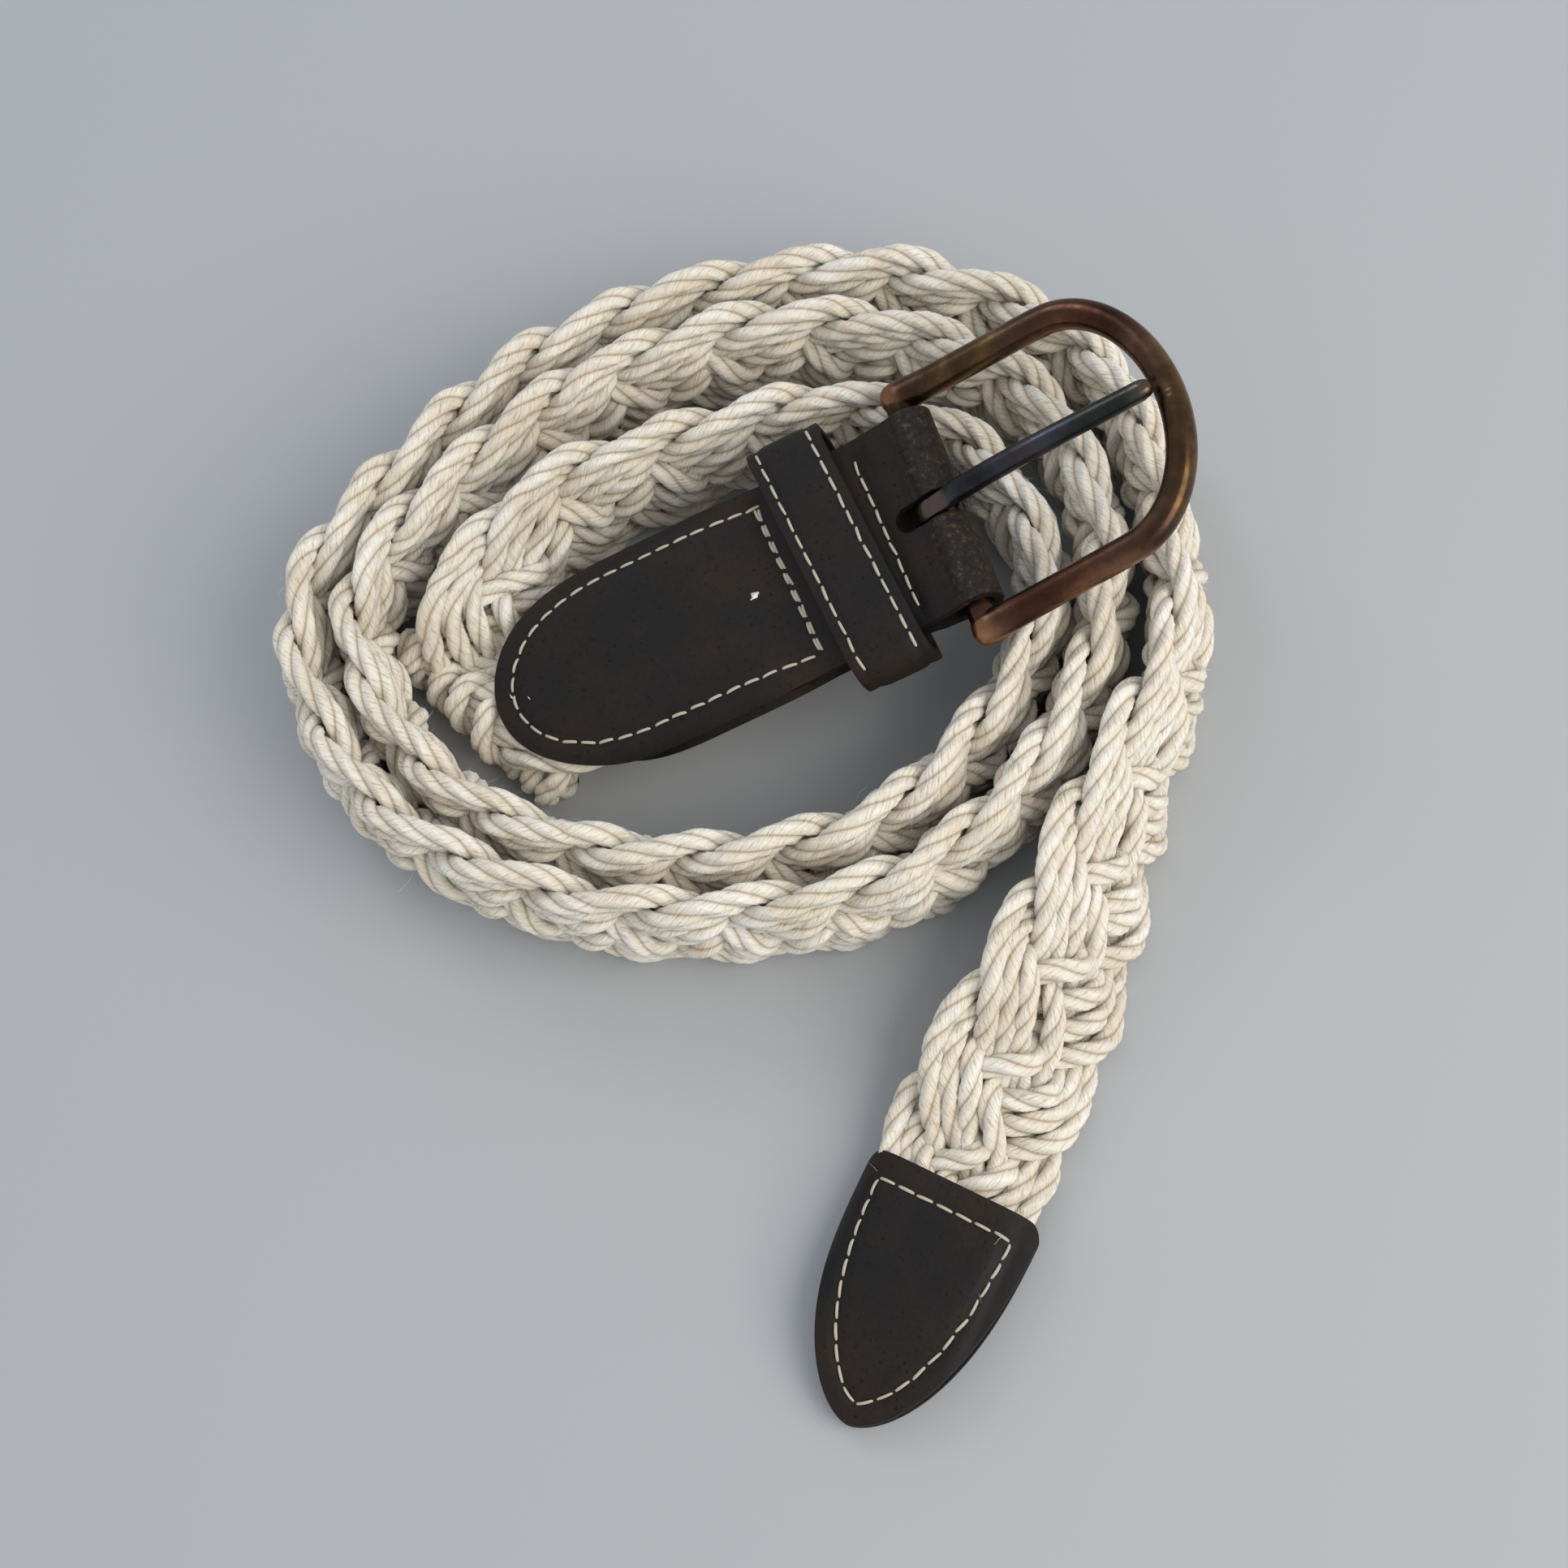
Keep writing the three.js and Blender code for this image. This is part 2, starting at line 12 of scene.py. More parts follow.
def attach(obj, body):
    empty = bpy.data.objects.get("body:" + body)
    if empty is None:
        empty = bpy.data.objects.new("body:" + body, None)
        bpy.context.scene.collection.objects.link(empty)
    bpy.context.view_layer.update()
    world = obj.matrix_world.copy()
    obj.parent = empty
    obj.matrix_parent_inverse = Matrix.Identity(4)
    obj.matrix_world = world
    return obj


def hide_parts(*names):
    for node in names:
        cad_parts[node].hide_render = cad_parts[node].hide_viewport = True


bl_info = {
    "name": "Plaited belt",
    "version": (1, 0, 0),
    "blender": (4, 5, 0),
    "location": "View3D > Sidebar > Belt",
    "description": "Builds the cords, leather, stitches and metal of a coiled plaited belt",
    "category": "Add Mesh",
}

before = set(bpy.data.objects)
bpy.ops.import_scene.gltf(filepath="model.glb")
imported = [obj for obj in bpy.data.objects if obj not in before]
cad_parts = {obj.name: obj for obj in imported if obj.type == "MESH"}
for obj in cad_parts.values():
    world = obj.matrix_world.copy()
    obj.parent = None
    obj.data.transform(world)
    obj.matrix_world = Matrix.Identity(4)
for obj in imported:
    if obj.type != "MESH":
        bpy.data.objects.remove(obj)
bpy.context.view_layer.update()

# All sizes are in millimetres and become metres where a mesh is made.
# Places are measured from the same drawing zero as the CAD source.
MM = 0.001
ORIGIN = np.array([-7.06, -10.76, 0.0])
COIL = np.array([-8.0, 32.0])

BAR = {"at": (34.0, 40.7, 36.8), "radius": 2.7, "yaw": 18.7, "tab": 14.5, "frame": 22.0}
STRAP = {"width": 41.0, "thick": 2.0, "d_end": 30.0, "apex": 94.7, "lower": 87.5, "pad": 3.8}
TIP = {"x": 33.0, "y": -82.2, "heading": 243.0, "length": 47.0, "half": 17.4, "thick": 2.0, "dome": 7.8,
       "gap": 0.3, "corner": 2.6, "cross": 5.0}
# How far the keeper and the cross rows slant, in mm along for each mm across
SKEW = 0.1
KEEPER = {"inner": 49.6, "wide": 15.0, "thick": 2.2, "gap": 2.9, "at": -20.5, "round": 3.0, "row": 0.72}
# Room round the bar, and half the room between the tab's two layers where they are closest
CLEAR = 0.36
CLOSED = 0.2
# The prong's slot: half its width, its round ends in the upper and lower layer, and how far it is cut
SLOT = {"half": 2.6, "upper": -5.9, "lower": -3.2, "reach": 9.0, "overlap": 0.1}
# Where the tab's layers leave the bend, the turn at which they leave the bar, and the two cross rows
BEND = {"from": 7.5, "turn": 118, "cross": -31.6, "behind": -11.0}
FRAME = {"rod": 2.85, "bar_half": 25.4, "front_half": 24.6, "arm": 30.7, "depth": 48.4}

# Distance from the coil's centre to the middle of the band: angle, first, second and third turn
TURNS = [
    (180, None, 73.5, 84.5),
    (150, None, 58.5, 68.8),
    (120, None, 53.5, 63.8),
    (90, 34.0, 54.8, 65.2),
    (60, 43.0, 62.0, 75.0),
    (30, 54.5, 71.5, 85.5),
    (0, 61.0, 72.5, 86.0),
    (-30, 57.0, 69.8, None),
    (-60, 55.5, 67.9, None),
    (-90, 54.3, 65.0, None),
    (-120, 59.0, 69.6, None),
    (-150, 68.0, 79.5, None),
]
# Steps of the band after its fold, and steps of its tail: x, y, lean in degrees, lift
START = [
    (-57.6, 20.2, -80, 2.0),
    (-56.4, 25.6, -64, 2.2),
    (-53.6, 37.0, -36, 1.0),
    (-43.2, 52.1, -14, 0.2),
    (-24.5, 60.8, -5, 0.0),
]
TAIL = [
    (77.0, 14.0, 11, 0.0),
    (68.4, -5.0, 20, 0.0),
    (61.9, -21.0, 30, 0.0),
    (54.8, -39.0, 41, 0.0),
    (47.4, -54.0, 54, 0.2),
    (40.4, -66.0, 70, 0.6),
    (34.6, -77.0, 86, 1.4),
    (29.9, -88.0, 90, 1.9),
    (24.4, -99.0, 90, 1.7),
]
FOLD = {"x": -57.2, "y": 13.1, "crease": -47.7, "half": 3.5, "top": 12.8, "bottom": 5.3,
        "from": 57, "to": 72}
BAND_THICK = 7.9


def cosd(angle):
    return math.cos(math.radians(angle))


def sind(angle):
    return math.sin(math.radians(angle))


def unit(v):
    return v / np.maximum(np.linalg.norm(v, axis=-1, keepdims=True), 1e-9)


def smooth(low, high, value):
    share = np.clip((value - low) / (high - low), 0, 1)
    return share * share * (3 - 2 * share)


def travelled(points):
    """Distance along a line of points, at each of them."""
    return np.concatenate([[0], np.cumsum(np.linalg.norm(np.diff(points, axis=0), axis=1))])


def read_at(at, run, values):
    """Every column of values, which are known at run, read at other places."""
    return np.stack([np.interp(at, run, values[:, i]) for i in range(values.shape[1])], 1)


# Settings, shown in the sidebar


class BandSettings(bpy.types.PropertyGroup):
    width: bpy.props.FloatProperty(
        name="Band width", description="Width of the flat plait in mm", default=33.0, min=20, max=50
    )
    cord: bpy.props.FloatProperty(
        name="Cord", description="Diameter of one cord in mm", default=4.1, min=2, max=6
    )
    period: bpy.props.FloatProperty(
        name="Plait repeat", description="Length in mm in which each strand comes back to its place",
        default=60.0, min=30, max=100,
    )
    lay: bpy.props.FloatProperty(
        name="Cord lay", description="Length in mm of one full turn of the cord's three plies",
        default=21.0, min=6, max=30,
    )
    fibres: bpy.props.IntProperty(
        name="Loose fibres", description="Number of short fibres that stand off the cords",
        default=15000, min=0, max=30000,
    )


class LeatherSettings(bpy.types.PropertyGroup):
    stitch: bpy.props.FloatProperty(
        name="Stitch pitch", description="Distance in mm between stitches", default=3.9, min=2, max=8
    )
    thread: bpy.props.FloatProperty(
        name="Thread", description="Diameter of the sewing thread in mm", default=0.62, min=0.3, max=2
    )
    inset: bpy.props.FloatProperty(
        name="Inset", description="Distance in mm of the stitches from the edge", default=3.9, min=1, max=8
    )


class MetalSettings(bpy.types.PropertyGroup):
    wear: bpy.props.FloatProperty(
        name="Wear", description="How much of the dark finish is rubbed off", default=0.5,
        min=0, max=1, subtype="FACTOR",
    )


class StageSettings(bpy.types.PropertyGroup):
    height: bpy.props.FloatProperty(
        name="Camera height", description="Height of the camera above the floor", default=0.48,
        min=0.1, max=3, unit="LENGTH",
    )
    light: bpy.props.FloatProperty(
        name="Light", description="Power of the window light in watts", default=7.6, min=0, max=100
    )


# Meshes and materials


def linear(code):
    """Linear colour from an sRGB hex code."""
    values = [int(code[i : i + 2], 16) / 255 for i in (1, 3, 5)]
    return [v / 12.92 if v <= 0.04045 else ((v + 0.055) / 1.055) ** 2.4 for v in values] + [1.0]


def add_mesh(name, points, faces, material, uv=None, body=None, sharp=None, closed=None):
    """One object from points in mm from the drawing zero. faces is one array or several.

    closed is the uv height at which a tube's pattern meets its own start.
    """
    groups = faces if isinstance(faces, list) else [faces]
    groups = [np.asarray(g, np.int32) for g in groups if len(g)]
    points = (np.asarray(points, float) - ORIGIN) * MM
    mesh = bpy.data.meshes.new(name)
    mesh.vertices.add(len(points))
    mesh.vertices.foreach_set("co", points.astype(np.float32).ravel())
    corners = np.concatenate([g.ravel() for g in groups])
    sizes = np.concatenate([np.full(len(g), g.shape[1], np.int32) for g in groups])
    starts = np.concatenate([[0], np.cumsum(sizes)[:-1]]).astype(np.int32)
    mesh.loops.add(len(corners))
    mesh.loops.foreach_set("vertex_index", corners.astype(np.int32))
    mesh.polygons.add(len(sizes))
    mesh.polygons.foreach_set("loop_start", starts)
    mesh.polygons.foreach_set("loop_total", sizes)
    mesh.update(calc_edges=True)
    mesh.validate()
    mesh.polygons.foreach_set("use_smooth", np.ones(len(mesh.polygons), bool))
    if uv is not None:
        layer = mesh.uv_layers.new(name="run")
        spread = np.asarray(uv, np.float32)[corners]
        if closed:
            turns = spread[: groups[0].size].reshape(groups[0].shape + (2,))
            wraps = np.ptp(turns[..., 1], axis=1) > closed / 2
            turns[..., 1] += closed * wraps[:, None] * (turns[..., 1] < closed / 2)
        layer.data.foreach_set("uv", spread.ravel())
    if sharp:
        mesh.set_sharp_from_angle(angle=math.radians(sharp))
    mesh.materials.append(material)
    made = bpy.data.objects.new(name, mesh)
    bpy.context.scene.collection.objects.link(made)
    if body:
        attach(made, body)
    return made


def new_material(name):
    """An empty material, the function that adds a node to it, and its shader."""
    material = bpy.data.materials.new(name)
    material.use_nodes = True
    tree = material.node_tree
    tree.nodes.clear()
    node = partial(add_node, tree)
    shader = node("BsdfPrincipled")
    node("OutputMaterial", links={0: (shader, 0)})
    return material, node, shader


def set_inputs(node, inputs=None, links=None):
    """Sets a node's input values, and links (node, output) pairs to its inputs."""
    for key, value in (inputs or {}).items():
        node.inputs[key].default_value = value
    for key, (source, output) in (links or {}).items():
        node.id_data.links.new(source.outputs[output], node.inputs[key])


def add_node(tree, kind, settings=None, inputs=None, links=None, stops=()):
    """Adds one node with its settings, inputs and links; stops are a ramp's places and hex colours."""
    made = tree.nodes.new("ShaderNode" + kind)
    for key, value in (settings or {}).items():
        setattr(made, key, value)
    set_inputs(made, inputs, links)
    if stops:
        while len(made.color_ramp.elements) < len(stops):
            made.color_ramp.elements.new(0.5)
        for element, (place, code) in zip(made.color_ramp.elements, stops):
            element.position = place
            element.color = linear(code)
    return made


# Settings that several nodes share
TIMES = {"operation": "MULTIPLY"}
TIMES_PLUS = {"operation": "MULTIPLY_ADD"}
TINT = {"data_type": "RGBA", "blend_type": "MULTIPLY"}
FLAT = {"noise_dimensions": "2D"}


# The band's middle line


def tab_axes(slope):
    ahead = np.array([cosd(BAR["yaw"]), sind(BAR["yaw"]), 0.0])
    aside = np.array([-sind(BAR["yaw"]), cosd(BAR["yaw"]), 0.0])
    up = np.array([0.0, 0.0, 1.0])
    return ahead * cosd(slope) + up * sind(slope), aside, up * cosd(slope) - ahead * sind(slope)


def tilted(local, slope):
    """Places (along, across, off) from the bar's middle on a plane tilted by slope degrees."""
    local = np.asarray(local, float)
    x, y, z = tab_axes(slope)
    return np.array(BAR["at"]) + local[..., :1] * x + local[..., 1:2] * y + local[..., 2:3] * z


def stations(band):
    """Places and face directions that the band's middle passes through."""
    rows = []
    normal = tab_axes(BAR["tab"])[2]
    for back in (39, 50, 64, 78):
        rows.append((tilted([-back, 0, 0], BAR["tab"]), normal))
    crease = np.array([cosd(FOLD["crease"]), sind(FOLD["crease"]), 0])
    out = np.array([crease[1], -crease[0], 0])
    heading = -np.array([cosd(BAR["yaw"]), sind(BAR["yaw"]), 0])
    drift = heading @ crease / (heading @ out)
    tall = (FOLD["top"] - FOLD["bottom"]) / 2
    for turn in range(0, 181, 30):
        along = (turn - 90) / 90 * math.pi / 4 * (FOLD["half"] + tall) * drift
        place = np.array([FOLD["x"], FOLD["y"], FOLD["bottom"] + tall]) + crease * along
        place = place + out * FOLD["half"] * sind(turn) + np.array([0, 0, tall * cosd(turn)])
        face = out * tall * sind(turn) + np.array([0, 0, FOLD["half"] * cosd(turn)])
        rows.append((place, unit(face)))
    flat = list(START)
    for column in (1, 2, 3):
        for row in TURNS:
            if row[column] is not None:
                x, y = COIL + row[column] * np.array([cosd(row[0]), sind(row[0])])
                flat.append((x, y, 4 if column == 3 and row[0] == 0 else 0, 0))
    flat += TAIL
    for i, (x, y, lean, lift) in enumerate(flat):
        back, ahead = flat[max(i - 1, 0)], flat[min(i + 1, len(flat) - 1)]
        outward = unit(np.array([back[1] - ahead[1], ahead[0] - back[0], 0.0]))
        height = (band.width - BAND_THICK) / 2 * cosd(lean) + BAND_THICK / 2 + lift
        face = outward * cosd(lean) + np.array([0, 0, sind(lean)])
        rows.append((np.array([x, y, height]), face))
    return np.array([r[0] for r in rows]), np.array([r[1] for r in rows])


def centripetal(points, spot):
    """Place on a centripetal curve through the points; spot counts points from the first."""
    padded = np.vstack([2 * points[0] - points[1], points, 2 * points[-1] - points[-2]])
    low = np.clip(np.floor(spot).astype(int), 0, len(points) - 2)
    share = (spot - low)[:, None]
    p0, p1, p2, p3 = (padded[low + i] for i in range(4))
    pairs = ((p0, p1), (p1, p2), (p2, p3))
    d0, d1, d2 = (np.sqrt(np.linalg.norm(b - a, axis=1, keepdims=True)) for a, b in pairs)
    t1 = ((p1 - p0) / d0 - (p2 - p0) / (d0 + d1) + (p2 - p1) / d1) * d1
    t2 = ((p2 - p1) / d1 - (p3 - p1) / (d1 + d2) + (p3 - p2) / d2) * d1
    c2 = -3 * p1 + 3 * p2 - 2 * t1 - t2
    c3 = 2 * p1 - 2 * p2 + t1 + t2
    return p1 + t1 * share + c2 * share**2 + c3 * share**3


def band_path(band):
    """Length travelled, place, side and face of the band's middle, every half millimetre."""
    places, faces = stations(band)
    spot = np.linspace(0, len(places) - 1, 60 * (len(places) - 1) + 1)
    line = centripetal(places, spot)
    low = np.minimum(spot.astype(int), len(places) - 2)
    share = (spot - low)[:, None]
    face = unit(faces[low] * (1 - share) + faces[low + 1] * share)
    run = travelled(line)
    s = np.linspace(0, run[-1], int(run[-1] * 2))
    line, face = read_at(s, run, line), read_at(s, run, face)
    along = unit(np.gradient(line, s, axis=0))
    face = unit(face - along * (face * along).sum(1, keepdims=True))
    side = np.cross(along, face)
    # Near the fold the cross-sections turn parallel to the crease, as a folded ribbon's do
    crease = np.array([cosd(FOLD["crease"]), sind(FOLD["crease"]), 0])
    turned = smooth(FOLD["from"] - 20, FOLD["from"], s) * (1 - smooth(FOLD["to"], FOLD["to"] + 8, s))
    slant = (along @ crease) / np.where(turned > 0, side @ crease, 1)
    return s, line, side + along * (slant * turned)[:, None], face


def fullness(s, length):
    """How wide and how thick the band is along its length, as shares of its plain size."""
    wide = np.interp(s, [0, 12, 48, 58, 69, 80, 96, 112], [0.94, 0.97, 1.0, 1.12, 1.26, 1.16, 1.02, 1.0])
    thick = np.interp(s, [0, 12, 48, 58, 69, 80, 96, 112], [0.5, 0.8, 0.82, 0.8, 0.77, 0.74, 0.86, 1.0])
    left = length - s
    wide = wide * np.interp(left, [0, 6, 20, 30, 45, 90, 130], [0.84, 0.89, 0.93, 1.02, 1.07, 1.07, 1.0])
    thick = thick * np.interp(left, [0, 6, 20, 30, 45], [0.4, 0.76, 0.82, 0.88, 1.0])
    return wide, thick


# Cotton cords

# Points in one repeat of the plait, and a cord's drawn thickness as a share of its nominal one
CELL = 96
FULL = 1.09
# Distance between two cords at which they touch, as a share of the cord's thickness
TOUCH = 0.985


def plait_cell(band):
    """One repeat of a three-strand flat plait with four cords a strand.

    The cords start as flat ribbons that weave over and under, and are then pushed apart
    wherever two of them would share room, as tightly plaited rope settles.
    """
    period, cord = band.period, band.cord
    swing = band.width / 2 - 2 * cord
    phase = 2 * math.pi * np.arange(CELL) / CELL
    slope = swing * 2 * math.pi / period * np.cos(phase)
    norm = np.sqrt(1 + slope**2)
    rows = []
    for place in (-1.5, -0.5, 0.5, 1.5):
        off = place * cord * 0.98
        rows.append(np.stack([
            period * np.arange(CELL) / CELL - off * slope / norm,
            swing * np.sin(phase) + off / norm,
            -cord * 0.56 * np.sin(2 * phase),
        ], 1))
    base = np.array(rows)
    moved = np.zeros_like(base)
    kernel = np.exp(-0.5 * (np.arange(-6, 7) / 2.2) ** 2)
    kernel /= kernel.sum()
    for _ in range(70):
        own = base + moved
        everyone = []
        for k in range(3):
            shifted = np.roll(own, -k * CELL // 3, axis=1)
            shifted[:, CELL - k * CELL // 3 :, 0] += period if k else 0
            shifted[:, :, 0] -= period * k / 3
            everyone.append(shifted)
        everyone = np.array(everyone)
        push = np.zeros_like(own)
        for i in range(4):
            total = np.zeros((CELL, 3))
            count = np.zeros((CELL, 1))
            for k in range(3):
                for j in range(4):
                    if k == 0 and i == j:
                        continue
                    gap = own[i][:, None] - everyone[k, j][None]
                    gap[..., 0] -= period * np.round(gap[..., 0] / period)
                    far = np.linalg.norm(gap, axis=2)
                    near = far < cord * TOUCH
                    share = np.where(near, (cord * TOUCH - far) / np.maximum(far, 0.05), 0)
                    total += (gap * share[..., None]).sum(1)
                    count += near.sum(1)[:, None]
            push[i] = total / np.maximum(count, 1)
        moved = moved + 0.6 * push
        wrapped = np.concatenate([moved[:, -6:], moved, moved[:, :6]], axis=1)
        moved = np.stack([
            np.stack([np.convolve(wrapped[i, :, c], kernel, "valid") for c in range(3)], 1)
            for i in range(4)
        ])
        limit = band.width / 2 - cord / 2
        across = base[..., 1] + moved[..., 1]
        moved[..., 1] += (np.clip(across, -limit, limit) - across) * 0.5
        moved[..., 2] *= 0.99
    return base + moved


def cord_lines(band):
    """Middle lines of the twelve cords, with the band's face direction at every point."""
    cell = plait_cell(band)
    s, line, side, face = band_path(band)
    length = s[-1]
    rng = np.random.default_rng(7)
    cords = []
    step = 0.7
    count = int(length * 1.12 / step)
    turns = np.linspace(-0.15, length / band.period + 0.15, count * 4)
    for strand in range(3):
        for j in range(4):
            spot = (turns + strand / 3) * CELL
            low = np.floor(spot).astype(int)
            share = (spot - low)[:, None]
            here = cell[j, low % CELL] + np.outer(low // CELL, [band.period, 0, 0])
            after = cell[j, (low + 1) % CELL] + np.outer((low + 1) // CELL, [band.period, 0, 0])
            local = here * (1 - share) + after * share
            local[:, 0] -= band.period * strand / 3
            local[:, 0] -= 0.45 * local[:, 1] * smooth(length - 210, length - 130, local[:, 0])
            keep = (local[:, 0] > -0.5) & (local[:, 0] < length + 0.5)
            local = local[keep]
            knots = rng.normal(size=(int(length / 9), 3))
            place = np.linspace(0, length, len(knots))
            for c, size in ((0, 0.5), (1, 0.3), (2, 0.2)):
                local[:, c] += size * np.interp(local[:, 0], place, knots[:, c])
            at = np.clip(local[:, 0], 0, length)
            wide, thick = fullness(at, length)
            middle, across, off = (read_at(at, s, values) for values in (line, side, face))
            points = middle + across * (local[:, 1] * wide)[:, None] + off * (local[:, 2] * thick)[:, None]
            run = travelled(points)
            even = np.linspace(0, run[-1], int(run[-1] / step))
            points = read_at(even, run, points)
            blur = np.ones(5) / 5
            points[2:-2] = np.stack([np.convolve(points[:, i], blur, "valid") for i in range(3)], 1)
            cords.append({"strand": strand, "points": points, "face": read_at(even, run, off), "run": even})
    return cords


def cord_shell(cord, band, rng):
    """Surface of one cord: three plies laid to the right round its middle line."""
    points, run = cord["points"], cord["run"]
    along = unit(np.gradient(points, axis=0))
    first = unit(cord["face"] - along * (cord["face"] * along).sum(1, keepdims=True))
    second = np.cross(along, first)
    sides = 12
    knots = rng.normal(size=len(run) // 12 + 2)
    uneven = np.interp(np.arange(len(run)), np.linspace(0, len(run), len(knots)), knots)
    twist = 2 * math.pi * (run / band.lay + 0.05 * uneven) + rng.uniform(0, 6)
    lobe = np.abs((np.arange(sides) % 4) - 2) / 2
    profile = 1.05 - 0.29 * lobe**2.2
    radius = FULL * band.cord / 2 * (1.0 + 0.035 * np.roll(uneven, 5))
    angle = 2 * math.pi * np.arange(sides)[None] / sides + twist[:, None]
    spread = radius[:, None] * profile[None]
    ring = points[:, None] + (first[:, None] * np.cos(angle)[..., None]
                              + second[:, None] * np.sin(angle)[..., None]) * spread[..., None]
    uv = np.stack(np.broadcast_arrays(run[:, None], np.arange(sides)[None] / sides), 2)
    return ring, uv


def grid_faces(rows, columns, closed):
    """Quads between neighbouring rows of points."""
    i = np.arange(rows - 1)[:, None] * columns
    j = np.arange(columns if closed else columns - 1)[None]
    after = (j + 1) % columns
    return np.stack([i + j, i + after, i + columns + after, i + columns + j], 2).reshape(-1, 4)


# Marks of wear on the cotton: place in mm from the drawing zero, size in mm and colour
STAINS = [
    ((54.9, -14.4, 28.0), 2.6, "#A9AC8E"),
    ((63.0, -25.6, 22.0), 1.3, "#8F7458"),
    ((73.5, -3.0, 24.0), 0.9, "#7E6A52"),
    ((66.0, 28.0, 31.0), 0.8, "#94805F"),
]


def cotton_material():
    """Undyed spun cotton: matt cream plies with painted shade in the seams between them, combed by fine
    fibres along each ply.

    The cords' uv is millimetres along and one turn round, so scales follow from the lay.
    """
    material, node, shader = new_material("cotton_cord_three_ply")
    uv = node("UVMap", {"uv_map": "run"})
    parts = node("SeparateXYZ", links={0: (uv, 0)})
    turn = node("Math", TIMES, {1: 13.3}, {0: (parts, "Y")})
    lean = node("Math", TIMES_PLUS, {1: 1.25}, {0: (parts, "X"), 2: (turn, 0)})
    slow = node("Math", TIMES, {1: 0.13}, {0: (parts, "X")})
    combed = node("CombineXYZ", links={"X": (lean, 0), "Y": (slow, 0)})
    fibre = node("TexNoise", FLAT, {"Scale": 2.3, "Detail": 3.5, "Roughness": 0.7}, {"Vector": (combed, 0)})
    plies = node("Math", TIMES, {1: 3.0}, {0: (parts, "Y")})
    ply = node("Math", {"operation": "PINGPONG"}, {1: 0.5}, {0: (plies, 0)})
    # The seam mask drives the painted shade in the crevices between the plies
    seam = node("MapRange", {"interpolation_type": "SMOOTHSTEP"}, {"From Max": 0.17}, {"Value": (ply, 0)})
    swell = node("Math", {"operation": "POWER"}, {1: 0.5}, {0: (ply, 0)})
    own = node("Math", {"operation": "FLOOR"}, None, {0: (plies, 0)})
    far = node("Math", TIMES, {1: 0.03}, {0: (parts, "X")})
    stretch = node("CombineXYZ", links={"X": (far, 0), "Y": (own, 0)})
    batch = node("TexNoise", FLAT, {"Scale": 1.9, "Detail": 2.0}, {"Vector": (stretch, 0)})
    place = node("TexCoord")
    patch = node("TexNoise", None, {"Scale": 62.0, "Detail": 3.0}, {"Vector": (place, "Object")})
    both = node("Mix", None, {"Factor": 0.5}, {"A": (patch, 0), "B": (batch, 0)})
    tone = node("ValToRGB", links={0: (both, 0)},
                stops=[(0.36, "#E4DAC9"), (0.5, "#F0E9DC"), (0.64, "#F8F4EC")])
    streak = node("ValToRGB", links={0: (fibre, 0)},
                  stops=[(0.3, "#B5A890"), (0.43, "#EDE7DC"), (0.6, "#FFFFFF")])
    # Painted shade: the seams between plies are darkened to warm brown in place of the shadow in their
    # crevices
    crease = node("ValToRGB", links={0: (seam, 0)},
                  stops=[(0.0, "#C6B498"), (0.5, "#F0E9DC"), (1.0, "#FFFFFF")])
    colour = node("Mix", TINT, {"Factor": 0.7}, {"A": (tone, 0), "B": (streak, 0)})
    colour = node("Mix", TINT, {"Factor": 0.6}, {"A": (colour, "Result"), "B": (crease, 0)})
    for spot, size, code in STAINS:
        spot = [float(v) * MM for v in np.array(spot) - ORIGIN]
        near = node("VectorMath", {"operation": "DISTANCE"}, {1: spot}, {0: (place, "Object")})
        ragged = node("Math", TIMES_PLUS, {1: size * MM}, {0: (fibre, 0), 2: (near, 1)})
        spread = {"From Min": size * 0.5 * MM, "From Max": size * 1.7 * MM, "To Min": 0.75, "To Max": 0.0}
        share = node("MapRange", None, spread, {"Value": (ragged, 0)})
        colour = node("Mix", TINT, {"B": linear(code)}, {"Factor": (share, 0), "A": (colour, "Result")})
    round_off = node("Bump", None, {"Strength": 0.9, "Distance": 0.0011}, {"Height": (swell, 0)})
    bump = node("Bump", None, {"Strength": 0.85, "Distance": 0.0004},
                {"Height": (fibre, 0), "Normal": (round_off, 0)})
    set_inputs(shader, {
        "Roughness": 0.95, "IOR": 1.53, "Specular IOR Level": 0.15,
        "Sheen Weight": 0.25, "Sheen Roughness": 0.6, "Subsurface Weight": 0.3,
        "Subsurface Radius": (0.0012, 0.0008, 0.0005), "Subsurface Scale": 1.0,
    }, {"Base Color": (colour, "Result"), "Normal": (bump, 0)})
    return material


def fibre_material():
    """Loose cotton fibres: matt and the cords' own colour, which softens the cords' outline."""
    material, _, shader = new_material("cotton_loose_fibre")
    set_inputs(shader, {
        "Base Color": linear("#F0EBE0"), "Roughness": 0.9, "IOR": 1.53, "Specular IOR Level": 0.2,
    })
    return material


# Length of cord in mm, from its start, that lies under the tab and so shows no loose fibres
UNDER_TAB = 106.0


